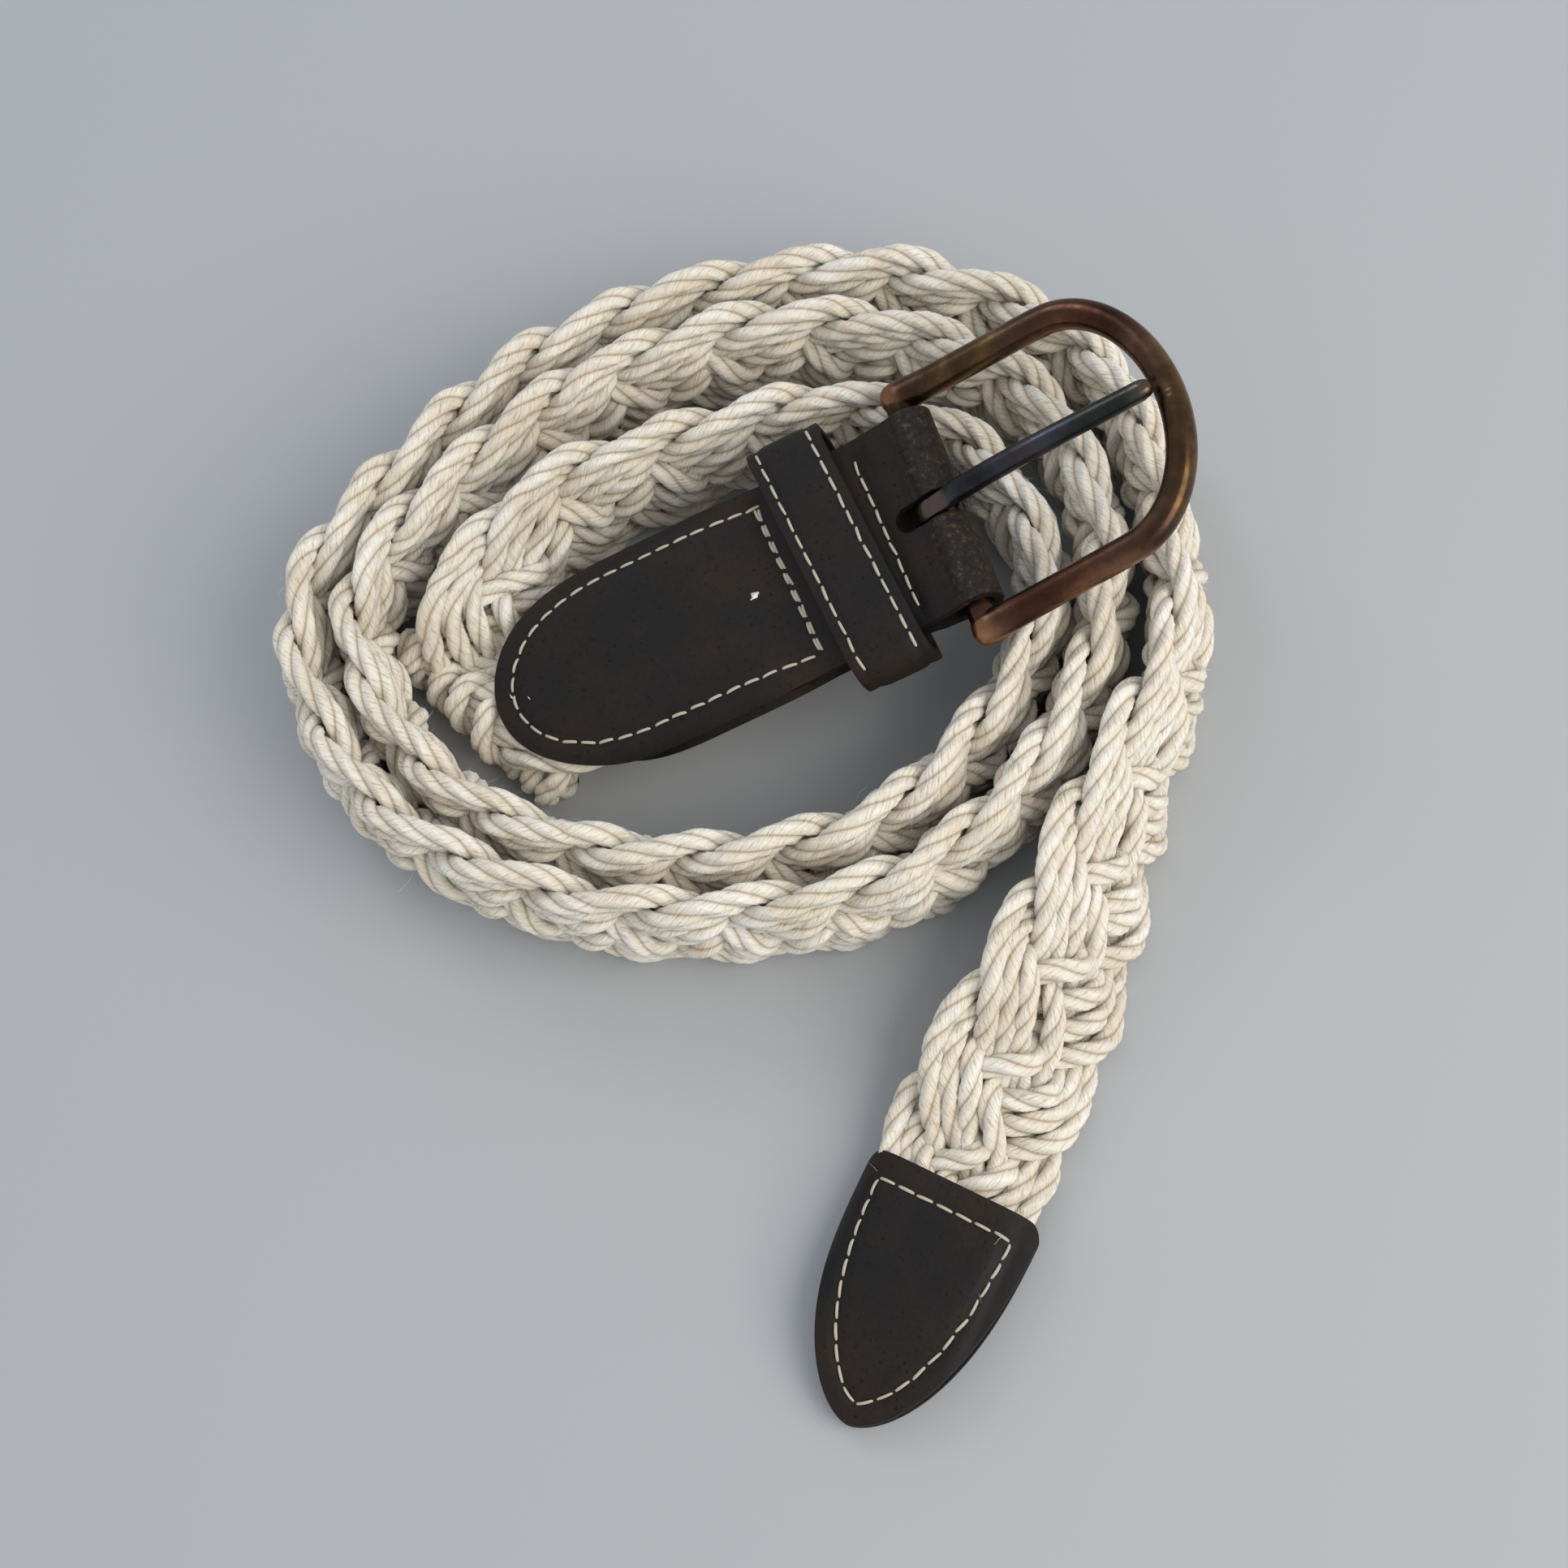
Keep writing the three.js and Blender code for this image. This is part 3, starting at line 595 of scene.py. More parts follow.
def fibres_on(cords, shells, band, rng):
    """Short bent fibres that stand off the cords, each a thin ribbon of three pieces."""
    points, faces = [], []
    total = band.fibres
    share = np.array([len(c["run"]) for c in cords], float)
    picks = rng.choice(len(cords), size=total, p=share / share.sum())
    for pick, count in zip(*np.unique(picks, return_counts=True)):
        ring = shells[pick]
        covered = np.searchsorted(cords[pick]["run"], UNDER_TAB)
        i = rng.integers(covered, len(ring) - 4, count)
        j = rng.integers(0, ring.shape[1], count)
        middle = ring.mean(1)
        root = ring[i, j]
        outward = unit(root - middle[i])
        along = unit(middle[i + 2] - middle[i - 2]) * rng.choice([-1, 1], (count, 1))
        sidewise = np.cross(outward, along)
        length = rng.gamma(2.6, 0.62, (count, 1))
        rise = rng.uniform(0.1, 0.75, (count, 1)) * length
        curl = rng.normal(0, 0.45, (count, 1)) * length
        width = rng.uniform(0.018, 0.034, (count, 1))
        lines = []
        for t in (0.0, 0.34, 0.68, 1.0):
            spot = root - outward * 0.15 + along * length * t * 0.9 + outward * rise * math.sin(t * 2.1)
            spot = spot + sidewise * curl * t * t
            thin = width * (1.0 - 0.6 * t)
            across = unit(sidewise + outward * rng.normal(0, 0.4, (count, 1)))
            lines.append(np.stack([spot - across * thin, spot + across * thin], 1))
        block = np.stack(lines, 1).reshape(count, 8, 3)
        base = sum(len(p) for p in points)
        points.append(block.reshape(-1, 3))
        start = base + 8 * np.arange(count)[:, None, None]
        quads = np.array([[0, 1, 3, 2], [2, 3, 5, 4], [4, 5, 7, 6]])[None]
        faces.append((start + quads).reshape(-1, 4))
    return np.vstack(points), np.vstack(faces)


# Leather


def leather_material(name, tint, seed):
    """Oiled cowhide: charcoal brown, open pores, a low sheen and paler rubbed places."""
    material, node, shader = new_material(name)
    place = node("TexCoord")
    moved = node("Mapping", None, {"Location": (seed, seed * 0.7, 0)}, {"Vector": (place, "Object")})
    at = {"Vector": (moved, 0)}
    cloud = node("TexNoise", None, {"Scale": 55.0, "Detail": 6.0, "Roughness": 0.6}, at)
    grain = node("TexNoise", None, {"Scale": 900.0, "Detail": 4.0, "Roughness": 0.6}, at)
    pores = node("TexVoronoi", None, {"Scale": 620.0, "Randomness": 1.0}, at)
    pits = node("ValToRGB", links={0: (pores, 0)}, stops=[(0.1, "#000000"), (0.3, "#FFFFFF")])
    spots = node("TexNoise", None, {"Scale": 300.0, "Detail": 2.0}, at)
    sparse = node("ValToRGB", links={0: (spots, 0)}, stops=[(0.45, "#FFFFFF"), (0.56, "#000000")])
    lighten = {"data_type": "RGBA", "blend_type": "LIGHTEN"}
    hole = node("Mix", lighten, {"Factor": 1.0}, {"A": (pits, 0), "B": (sparse, 0)})
    tone = node("ValToRGB", links={0: (cloud, 0)}, stops=tint)
    flecks = node("ValToRGB", links={0: (grain, 0)},
                  stops=[(0.3, "#B9B2AC"), (0.5, "#FFFFFF"), (0.7, "#FFFFFF")])
    colour = node("Mix", TINT, {"Factor": 0.7}, {"A": (tone, 0), "B": (flecks, 0)})
    dark = node("Mix", TINT, {"Factor": 0.85}, {"A": (colour, "Result"), "B": (hole, "Result")})
    worn = node("Attribute", {"attribute_name": "worn"})
    scuff = node("ValToRGB", links={0: (grain, 0)},
                 stops=[(0.4, "#17120F"), (0.58, "#2A221B"), (0.72, "#57472F")])
    share = node("Math", TIMES, {1: 0.75}, {0: (worn, "Fac")})
    rubbed = node("Mix", {"data_type": "RGBA"}, None,
                  {"Factor": (share, 0), "A": (dark, "Result"), "B": (scuff, 0)})
    height = node("Math", TIMES_PLUS, {1: 0.6}, {0: (grain, 0), 2: (hole, "Result")})
    bump = node("Bump", None, {"Strength": 0.5, "Distance": 0.00012}, {"Height": (height, 0)})
    between = {"From Min": 0.3, "From Max": 0.7, "To Min": 0.52, "To Max": 0.72}
    rough = node("MapRange", None, between, {"Value": (cloud, 0)})
    set_inputs(shader, {"IOR": 1.5, "Specular IOR Level": 0.24},
               {"Base Color": (rubbed, "Result"), "Normal": (bump, 0), "Roughness": (rough, 0)})
    return material


# Cut edges of leather turn by more than this many degrees and look sharp
SHARP = 50
DARK_TINT = [(0.3, "#0F0C0B"), (0.46, "#161210"), (0.6, "#201812"), (0.76, "#2B1F16")]
KEEPER_TINT = [(0.3, "#100D0B"), (0.5, "#191310"), (0.75, "#261D16")]


def thread_material():
    """Waxed cotton thread: cream, twisted and matt."""
    material, node, shader = new_material("waxed_cotton_thread")
    uv = node("UVMap", {"uv_map": "run"})
    wave = node("TexWave", {"wave_type": "BANDS", "bands_direction": "DIAGONAL"},
                {"Scale": 1.1, "Distortion": 0.6}, {"Vector": (uv, 0)})
    tone = node("ValToRGB", links={0: (wave, 0)}, stops=[(0.0, "#8F8675"), (0.6, "#C6BDAA")])
    bump = node("Bump", None, {"Strength": 0.4, "Distance": 0.0001}, {"Height": (wave, 0)})
    set_inputs(shader, {"Roughness": 0.7, "IOR": 1.5}, {"Base Color": (tone, 0), "Normal": (bump, 0)})
    return material


def inside_out(points, faces):
    """True if the faces of a closed mesh point inward on the whole."""
    a, b, c = (points[faces[:, i]] - points.mean(0) for i in (0, 1, 2))
    return (np.cross(a, b) * c).sum() < 0


def sheet_mesh(name, upper, lower, material, body):
    """Closed leather sheet between two grids of points with the same rows and columns."""
    rows, columns = upper.shape[:2]
    points = np.concatenate([upper.reshape(-1, 3), lower.reshape(-1, 3)])
    under = rows * columns
    top = grid_faces(rows, columns, False)
    bottom = (top + under)[:, ::-1]
    rim = [(i, 0) for i in range(rows)] + [(rows - 1, j) for j in range(1, columns)]
    rim += [(i, columns - 1) for i in range(rows - 2, -1, -1)] + [(0, j) for j in range(columns - 2, 0, -1)]
    index = np.array([i * columns + j for i, j in rim])
    after = np.roll(index, -1)
    edge = np.stack([index, index + under, after + under, after], 1)
    faces = np.vstack([top, bottom, edge])
    if inside_out(points, faces):
        faces = faces[:, ::-1]
    uv = np.stack(np.meshgrid(np.arange(rows), np.arange(columns), indexing="ij"), 2).reshape(-1, 2)
    uv = np.tile(uv, (2, 1))
    return add_mesh(name, points, faces, material, uv=uv, body=body, sharp=SHARP)


def groove(points, seams, depth=0.32, width=0.75):
    """How far the leather is pulled down along each seam, for points on the flat pattern."""
    sunk = np.zeros(points.shape[:-1])
    for seam in seams:
        flat = points.reshape(-1, 2)
        near = np.full(len(flat), 1e9)
        for chunk in range(0, len(seam), 60):
            part = seam[chunk : chunk + 61]
            near = np.minimum(near, np.linalg.norm(flat[:, None] - part[None], axis=2).min(1))
        sunk = np.maximum(sunk, depth * np.exp(-0.5 * (near.reshape(sunk.shape) / width) ** 2))
    return sunk


def even_line(points, step=0.4):
    """The same line with points at even steps."""
    points = np.asarray(points, float)
    run = travelled(points)
    return read_at(np.linspace(0, run[-1], max(int(run[-1] / step), 2)), run, points)


def stitch_row(seam, lift, thread, pitch, rng, share=0.83):
    """Stitches along a seam of (place, up) pairs: short bent threads that dive in at both ends."""
    places, ups = seam
    run = travelled(places)
    count = max(int(round(run[-1] / pitch)), 1)
    step = run[-1] / count
    points, faces, uvs = [], [], []
    sides, rings = 7, 9
    for n in range(count):
        start = step * (n + (1 - share) / 2) + rng.normal(0, 0.06)
        stop = start + step * share
        at = np.linspace(start, stop, rings)
        line = read_at(at, run, places)
        up = unit(read_at(at, run, ups))
        along = unit(line[-1] - line[0])[None]
        across = np.cross(along, up)
        t = np.linspace(0, 1, rings)
        arch = np.sin(math.pi * t) ** 0.45
        skew = rng.normal(0, 0.09)
        line = line + up * (lift + thread * (arch - 0.72) * 0.75)[:, None]
        line = line + across * ((t - 0.5) * skew * 2)[:, None]
        size = thread / 2 * (0.72 + 0.28 * arch) * rng.uniform(0.92, 1.08)
        angle = 2 * math.pi * np.arange(sides) / sides
        ring = line[:, None] + (across[:, None] * np.cos(angle)[None, :, None]
                                + up[:, None] * np.sin(angle)[None, :, None] * 0.8) * size[:, None, None]
        base = n * (sides * rings)
        points.append(ring.reshape(-1, 3))
        faces.append(grid_faces(rings, sides, True) + base)
        uv = np.broadcast_arrays(t[:, None] * 6, np.arange(sides)[None] / sides * 3)
        uvs.append(np.stack(uv, 2).reshape(-1, 2))
    return np.vstack(points), np.vstack(faces), np.vstack(uvs)


def sew(name, seams, lift, seed):
    """The stitches of one piece as one mesh. Each seam is its places and the leather's up directions."""
    leather = bpy.context.scene.belt_leather
    rng = np.random.default_rng(seed)
    points, faces, uvs, base = [], [], [], 0
    for seam in seams:
        p, f, u = stitch_row(seam, lift, leather.thread, leather.stitch, rng)
        points.append(p)
        faces.append(f + base)
        uvs.append(u)
        base += len(p)
    add_mesh(name, np.vstack(points), np.vstack(faces), thread_material(),
             uv=np.vstack(uvs), body="belt")


def d_half(end):
    """Half the tab's width, this far from the apex of its rounded end."""
    share = np.clip(end / STRAP["d_end"], 0, 1)
    return STRAP["width"] / 2 * np.sqrt(np.maximum(1 - (1 - share) ** 2.2, 0.0004))


PAD = [(1.0, 0.86), (0.93, 0.97), (0.82, 1.0), (0.66, 1.0), (0.52, 0.93), (0.44, 0.72), (0.38, 0.3),
       (0.34, 0.04), (0.24, 0.0), (0.14, 0.0)]


def pad_rise(back, apex):
    """How much of the pad's full height the flap has, this far back from the bar."""
    share = np.array([row[0] for row in PAD])[::-1]
    rise = np.array([row[1] for row in PAD])[::-1]
    fine = np.linspace(0, 1.02, 400)
    kernel = np.exp(-0.5 * (np.arange(-12, 13) / 5.0) ** 2)
    values = np.convolve(np.pad(np.interp(fine, share, rise), 12, "edge"), kernel / kernel.sum(), "valid")
    return np.interp(back / apex, fine, values)


def flap_off(back, across, apex):
    """Distance of a layer's middle from the tab's mid-plane."""
    closed = STRAP["thick"] / 2 + CLOSED
    sag = 1 - 0.92 * np.abs(across / (STRAP["width"] / 2)) ** 6
    return closed + STRAP["pad"] * pad_rise(back, apex) * sag


def tab_point(local):
    """Places on the tab (along, across, off) in the drawing."""
    return tilted(local, BAR["tab"])


def tab_seams(inset):
    """Seams of the tab on its flat pattern: (along, across) of the D row and of the two cross rows."""
    ends = np.concatenate([np.linspace(0, 1, 60) ** 2 * 30,
                           np.linspace(31, STRAP["apex"] + BEND["cross"], 40)])
    half = d_half(ends)
    side = np.stack([-(STRAP["apex"] - ends), half], 1)
    outline = even_line(np.vstack([side[::-1], side * [1, -1]]), 0.3)
    along = unit(np.gradient(outline, axis=0))
    inner = outline + np.stack([-along[:, 1], along[:, 0]], 1) * inset
    apart = np.linalg.norm(inner[:, None] - outline[None], axis=2).min(1)
    keep = apart > inset - 0.15
    keep &= inner[:, 0] <= BEND["cross"]
    d_row = even_line(inner[keep], 0.4)
    lip = STRAP["width"] / 2 - inset
    lanes = np.linspace(-lip, lip, 50)
    cross = np.stack([BEND["cross"] - SKEW * 0.7 * lanes, lanes], 1)
    behind = np.stack([BEND["behind"] - SKEW * 0.5 * lanes, lanes], 1)
    return d_row, cross, behind


def tip_half(down):
    """Half the tip's width, this far down from its straight edge."""
    down = np.asarray(down, float)
    body = (1 - np.clip(down / TIP["length"], 0, 1) ** 2.6) ** 0.6
    near = down / TIP["corner"]
    corner = np.where(near < 1, 1 - (1 - np.sqrt(np.clip(1 - (1 - near) ** 2, 0, 1))) * 0.14, 1)
    return np.maximum(TIP["half"] * body * corner, 0.15)


def tip_point(down, across, height):
    """Places on the tip in the drawing."""
    along = np.array([cosd(TIP["heading"]), sind(TIP["heading"]), 0])
    side = np.array([-along[1], along[0], 0])
    return (np.array([TIP["x"], TIP["y"], 0.0]) + down[..., None] * along + across[..., None] * side
            + height[..., None] * np.array([0, 0, 1.0]))


def tip_lift(down, across):
    """How high the band under the front layer raises it."""
    rise = TIP["dome"] * (1 - (down / TIP["length"]) ** 2.2)
    return rise * (1 - np.abs(across / (TIP["half"] * 1.005)) ** 8)


# Metal


def metal_material(name, seed, wear, stops):
    """Cast brass under a dark brown patina that is rubbed to copper on its proud places."""
    material, node, shader = new_material(name)
    place = node("TexCoord")
    moved = node("Mapping", None, {"Location": (seed, 0, seed)}, {"Vector": (place, "Object")})
    at = {"Vector": (moved, 0)}
    cloud = node("TexNoise", None, {"Scale": 75.0, "Detail": 6.0, "Roughness": 0.62}, at)
    fine = node("TexNoise", None, {"Scale": 700.0, "Detail": 4.0}, at)
    rub = node("Attribute", {"attribute_name": "rub"})
    mixed = node("Math", TIMES_PLUS, {1: 0.5 + wear}, {0: (cloud, 0), 2: (rub, "Fac")})
    tone = node("ValToRGB", links={0: (mixed, 0)}, stops=stops)
    broad = node("TexNoise", None, {"Scale": 38.0, "Detail": 2.0}, at)
    cast = node("ValToRGB", links={0: (broad, 0)},
                stops=[(0.36, "#FFD9CC"), (0.5, "#FFFFFF"), (0.62, "#E8F0C8")])
    stained = node("Mix", TINT, {"Factor": 0.8}, {"A": (tone, 0), "B": (cast, 0)})
    between = {"From Min": 0.3, "From Max": 0.7, "To Min": 0.2, "To Max": 0.36}
    rough = node("MapRange", None, between, {"Value": (fine, 0)})
    bump = node("Bump", None, {"Strength": 0.25, "Distance": 0.0001}, {"Height": (fine, 0)})
    set_inputs(shader, {"Metallic": 0.95},
               {"Base Color": (stained, "Result"), "Roughness": (rough, 0), "Normal": (bump, 0)})
    return material


# A rod's section: 1 is round, less is squarer with soft corners
SQUARE = 0.86
CAST_TINT = [(0.35, "#2A201B"), (0.6, "#4E3A2E"), (0.84, "#86644A"), (1.0, "#B58A66")]
PRONG_TINT = [(0.3, "#26262A"), (0.58, "#46474D"), (0.8, "#6B5344"), (1.0, "#9A6D4C")]


def tube(points, wide, thick, place, sides=20):
    """Round or oval rod along a line in a plane; its ends are left open."""
    points = np.asarray(points, float)
    run = unit(np.gradient(points, axis=0))
    out = np.stack([-run[:, 1], run[:, 0]], 1)
    angle = 2 * math.pi * np.arange(sides) / sides
    broad, deep = (np.sign(v) * np.abs(v) ** SQUARE for v in (np.cos(angle), np.sin(angle)))
    flat = points[:, None] + out[:, None] * (broad[None] * wide[:, None])[..., None]
    depth = deep[None] * thick[:, None]
    ring = place(np.concatenate([flat, depth[..., None]], 2))
    faces = grid_faces(len(points), sides, True)
    return ring, faces


def rod_object(name, ring, faces, material, body, rub):
    """One rod with closed ends; rub is how far its finish is worn at each point."""
    points = ring.reshape(-1, 3)
    sides = ring.shape[1]
    caps = [list(range(sides))[::-1], [len(points) - sides + i for i in range(sides)]]
    if inside_out(points, faces):
        faces = faces[:, ::-1]
        caps = [cap[::-1] for cap in caps]
    made = add_mesh(name, points, [faces, np.array(caps)], material, body=body)
    layer = made.data.attributes.new("rub", "FLOAT", "POINT")
    layer.data.foreach_set("value", rub.astype(np.float32).ravel())
    return made


def fine_line(rows, step=0.5):
    """Even, smooth points through the rows of (x, y, wide, thick)."""
    rows = np.asarray(rows, float)
    spot = np.linspace(0, len(rows) - 1, 40 * (len(rows) - 1) + 1)
    line = centripetal(rows[:, :3] * [1, 1, 0], spot)[:, :2]
    sizes = read_at(spot, np.arange(len(rows)), rows[:, 2:])
    run = travelled(line)
    return read_at(np.linspace(0, run[-1], int(run[-1] / step)), run, np.hstack([line, sizes]))


# Operators


class BELT_OT_plait(bpy.types.Operator):
    """Plait the twelve cotton cords of the band"""

    bl_idname = "belt.plait"
    bl_label = "Plait the band"

    def execute(self, context):
        band = context.scene.belt_band
        rng = np.random.default_rng(11)
        cords = cord_lines(band)
        material = cotton_material()
        shells = []
        for strand in range(3):
            points, faces, caps, uvs, base = [], [], [], [], 0
            for cord in (c for c in cords if c["strand"] == strand):
                ring, uv = cord_shell(cord, band, rng)
                ring[..., 2] = np.maximum(ring[..., 2], 0.05)
                shells.append(ring)
                rows, sides = ring.shape[:2]
                points.append(ring.reshape(-1, 3))
                uvs.append(uv.reshape(-1, 2))
                faces.append(grid_faces(rows, sides, True) + base)
                caps.append(base + np.arange(sides)[::-1])
                caps.append(base + (rows - 1) * sides + np.arange(sides))
                base += rows * sides
            sets = [np.vstack(faces), np.array(caps)]
            made = add_mesh(f"plait_strand_{strand + 1}", np.vstack(points), sets, material,
                            uv=np.vstack(uvs), body="belt", closed=1.0)
            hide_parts("plaited_band")
        points, faces = fibres_on(cords, shells, band, rng)
        points[:, 2] = np.maximum(points[:, 2], 0.02)
        add_mesh("loose_fibres", points, faces, fibre_material(), body="belt")
        return {"FINISHED"}


class BELT_OT_tab(bpy.types.Operator):
    """Fold the leather tab round the bar and sew it"""

    bl_idname = "belt.tab"
    bl_label = "Fold the buckle tab"

    def execute(self, context):
        leather = context.scene.belt_leather
        material = leather_material("oiled_cowhide_tab", DARK_TINT, 0.0)
        wrap = BAR["radius"] + CLEAR + STRAP["thick"] / 2
        seams = tab_seams(leather.inset)
        fine = 0.7
        leave, turned = BEND["from"], BEND["turn"]
        high, low = (
            np.concatenate([np.linspace(0, 1, 24) ** 2 * 12, np.arange(12 + fine, STRAP[key] - leave, fine)])
            for key in ("apex", "lower")
        )
        # Each row is its place along and off, its distance from the nearer end, and its side
        rows = [(-(STRAP["apex"] - e), None, e, 1) for e in high]
        start = float(flap_off(np.array(leave), np.array(0.0), STRAP["apex"])) + 0.7
        for share in (0.25, 0.5, 0.7, 0.86):
            along = -leave + share * (leave + wrap * cosd(turned))
            rows.append((along, start + (wrap * sind(turned) - start) * share**1.5, STRAP["apex"], 0))
        for turn in np.linspace(turned, -turned, 60):
            rows.append((wrap * cosd(turn), wrap * sind(turn), STRAP["apex"], 0))
        rows += [(-(STRAP["lower"] - e), None, e, -1) for e in low[::-1]]
        lanes = np.sin(np.linspace(-math.pi / 2, math.pi / 2, 61))
        middle = np.zeros((len(rows), len(lanes), 3))
        for i, (along, off, end, side) in enumerate(rows):
            across = lanes * d_half(end)
            middle[i, :, 0] = along
            middle[i, :, 1] = across
            if side == 0:
                middle[i, :, 2] = off
            else:
                apex = STRAP["apex"] if side > 0 else STRAP["lower"]
                near = smooth(6.0, 12.0, -along)
                middle[i, :, 2] = side * (flap_off(-along, across, apex) + (1 - near) * 0.9)
        kernel = np.array([1, 2, 3, 2, 1]) / 9
        for _ in range(3):
            padded = np.pad(middle[..., 2], ((2, 2), (0, 0)), "edge")
            middle[..., 2] = sum(k * padded[i : i + len(rows)] for i, k in enumerate(kernel))
        rowwise = unit(np.gradient(middle, axis=0))
        across = unit(np.gradient(middle, axis=1))
        normal = unit(np.cross(rowwise, across))
        sunk = groove(middle[..., :2], seams)
        outer = np.array([r[3] >= 0 for r in rows])
        sunk[~outer] *= 0.6
        half = STRAP["thick"] / 2
        if normal[5, len(lanes) // 2, 2] < 0:
            normal = -normal
        upper = middle + normal * (half - sunk)[..., None]
        lower = middle - normal * half
        upper, lower = tab_point(upper), tab_point(lower)
        made = sheet_mesh("buckle_tab_leather", upper, lower, material, "belt")
        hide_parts("buckle_tab")
        bent = np.array([smooth(-3.6, -1.6, r[0]) if r[3] == 0 else 0.0 for r in rows])
        worn = np.tile(np.repeat(bent, len(lanes)), 2).astype(np.float32)
        made.data.attributes.new("worn", "FLOAT", "POINT").data.foreach_set("value", worn)
        cut_slot(made, SLOT["upper"], -SLOT["overlap"], SLOT["reach"])
        cut_slot(made, SLOT["lower"], -SLOT["reach"], SLOT["overlap"])
        lines = []
        d_row, cross, behind = seams
        # The cross row is sewn twice, a little apart
        for seam in (d_row, cross, cross + [-0.55, 0.2], behind):
            off = flap_off(-seam[:, 0], seam[:, 1], STRAP["apex"]) + half - 0.25
            off = off + 0.85 * (1 - smooth(8.0, 14.0, -seam[:, 0]))
            places = tab_point(np.concatenate([seam, off[:, None]], 1))
            lines.append((places, np.tile(tab_axes(BAR["tab"])[2], (len(places), 1))))
        sew("tab_stitches", lines, 0.05, 3)
        return {"FINISHED"}


def cut_slot(made, centre, low, high):
    """Cuts the prong's slot through the fold round the bar, back to a round end and between two heights."""
    half = SLOT["half"]
    outline = [(SLOT["reach"], -half), (SLOT["reach"], half)]
    outline += [(centre + half * cosd(a), half * sind(a)) for a in range(90, 271, 15)]
    flat = np.array(outline)
    points = np.concatenate([np.c_[flat, np.full(len(flat), z)] for z in (low, high)])
    count = len(flat)
    side = np.array([[i, (i + 1) % count, count + (i + 1) % count, count + i] for i in range(count)])
    caps = np.array([list(range(count))[::-1], list(range(count, 2 * count))])
    cutter = add_mesh("slot_cutter", tab_point(points), [side, caps], made.data.materials[0])
    bpy.context.view_layer.update()
    step = made.modifiers.new("slot", "BOOLEAN")
    step.operation = "DIFFERENCE"
    step.solver = "EXACT"
    step.object = cutter
    graph = bpy.context.evaluated_depsgraph_get()
    mesh = bpy.data.meshes.new_from_object(made.evaluated_get(graph))
    made.modifiers.clear()
    made.data = mesh
    mesh.set_sharp_from_angle(angle=math.radians(SHARP))
    bpy.data.objects.remove(cutter)


class BELT_OT_keeper(bpy.types.Operator):
    """Bend the keeper round the tab and sew its two rows"""

    bl_idname = "belt.keeper"
    bl_label = "Bend the keeper"

    def execute(self, context):
        material = leather_material("oiled_cowhide_keeper", KEEPER_TINT, 3.1)
        low = -(STRAP["thick"] + CLOSED + CLEAR)
        high = STRAP["thick"] + CLOSED + KEEPER["gap"]
        half, bend = KEEPER["inner"] / 2, KEEPER["round"]
        corner = [(half - bend, high - bend, 0), (-half + bend, high - bend, 90),
                  (-half + bend, low + bend, 180), (half - bend, low + bend, 270)]
        fine = 6
        line = []
        for x, y, start in corner:
            for turn in range(start, start + 91, fine):
                line.append((x, y, cosd(turn), sind(turn)))
        filled = []
        for i, row in enumerate(line):
            after = line[(i + 1) % len(line)]
            filled.append(row)
            apart = math.hypot(after[0] - row[0], after[1] - row[1])
            for k in range(1, int(apart / 0.8) if apart > 2 else 0):
                share = k / int(apart / 0.8)
                filled.append(tuple(row[c] * (1 - share) + after[c] * share for c in range(2)) + row[2:])
        line = np.array(filled)
        columns = np.linspace(-1, 1, 27)
        along = KEEPER["at"] + columns * KEEPER["wide"] / 2
        crown = 0.35 * (1 - columns**4)
        seam = np.abs(np.abs(columns) - KEEPER["row"]) * KEEPER["wide"] / 2
        sunk = 0.3 * np.exp(-0.5 * (seam / 0.7) ** 2)
        inner = np.zeros((len(line), len(columns), 3))
        outer = np.zeros_like(inner)
        radii = (bend + 0 * crown, bend + KEEPER["thick"] + (crown - sunk - 0.2))
        for grid, radius in zip((inner, outer), radii):
            grid[..., 1] = line[:, 0:1] + line[:, 2:3] * radius[None]
            grid[..., 2] = line[:, 1:2] + line[:, 3:4] * radius[None]
            grid[..., 0] = along[None] - SKEW * grid[..., 1]
        rows, width = len(line), len(columns)
        points = tab_point(np.concatenate([outer, inner]).reshape(-1, 3))
        last = (rows - 1) * width
        closing = [[last + j, last + j + 1, j + 1, j] for j in range(width - 1)]
        wrap = np.vstack([grid_faces(rows, width, False), closing])
        under = rows * width
        edges = []
        for i in range(rows):
            after = (i + 1) % rows
            edges.append([i * width, after * width, under + after * width, under + i * width])
            edges.append([after * width + width - 1, i * width + width - 1,
                          under + i * width + width - 1, under + after * width + width - 1])
        faces = np.vstack([wrap, (wrap + under)[:, ::-1], np.array(edges)])
        made = add_mesh("keeper_leather", points, faces, material,
                        body="belt", sharp=SHARP)
        flip_out(made)
        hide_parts("keeper")
        lines = []
        # Across and off at the inner face, and the direction that the leather faces there
        top = [(-(half - 0.6), high - 0.9, -0.55, 0.83), (-half + bend, high, 0, 1),
               (half - bend, high, 0, 1), (half - 0.6, high - 0.9, 0.55, 0.83)]
        top = even_line(top)
        surface = KEEPER["thick"] - 0.1
        _, aside, up = tab_axes(BAR["tab"])
        ups = unit(top[:, 2:3] * aside + top[:, 3:4] * up)
        for side in (-1, 1):
            local = np.stack([np.full(len(top), KEEPER["at"] + side * KEEPER["row"] * KEEPER["wide"] / 2),
                              top[:, 0] + top[:, 2] * surface, top[:, 1] + top[:, 3] * surface], 1)
            local[:, 0] -= SKEW * local[:, 1]
            lines.append((tab_point(local), ups))
        sew("keeper_stitches", lines, 0.02, 5)
        return {"FINISHED"}


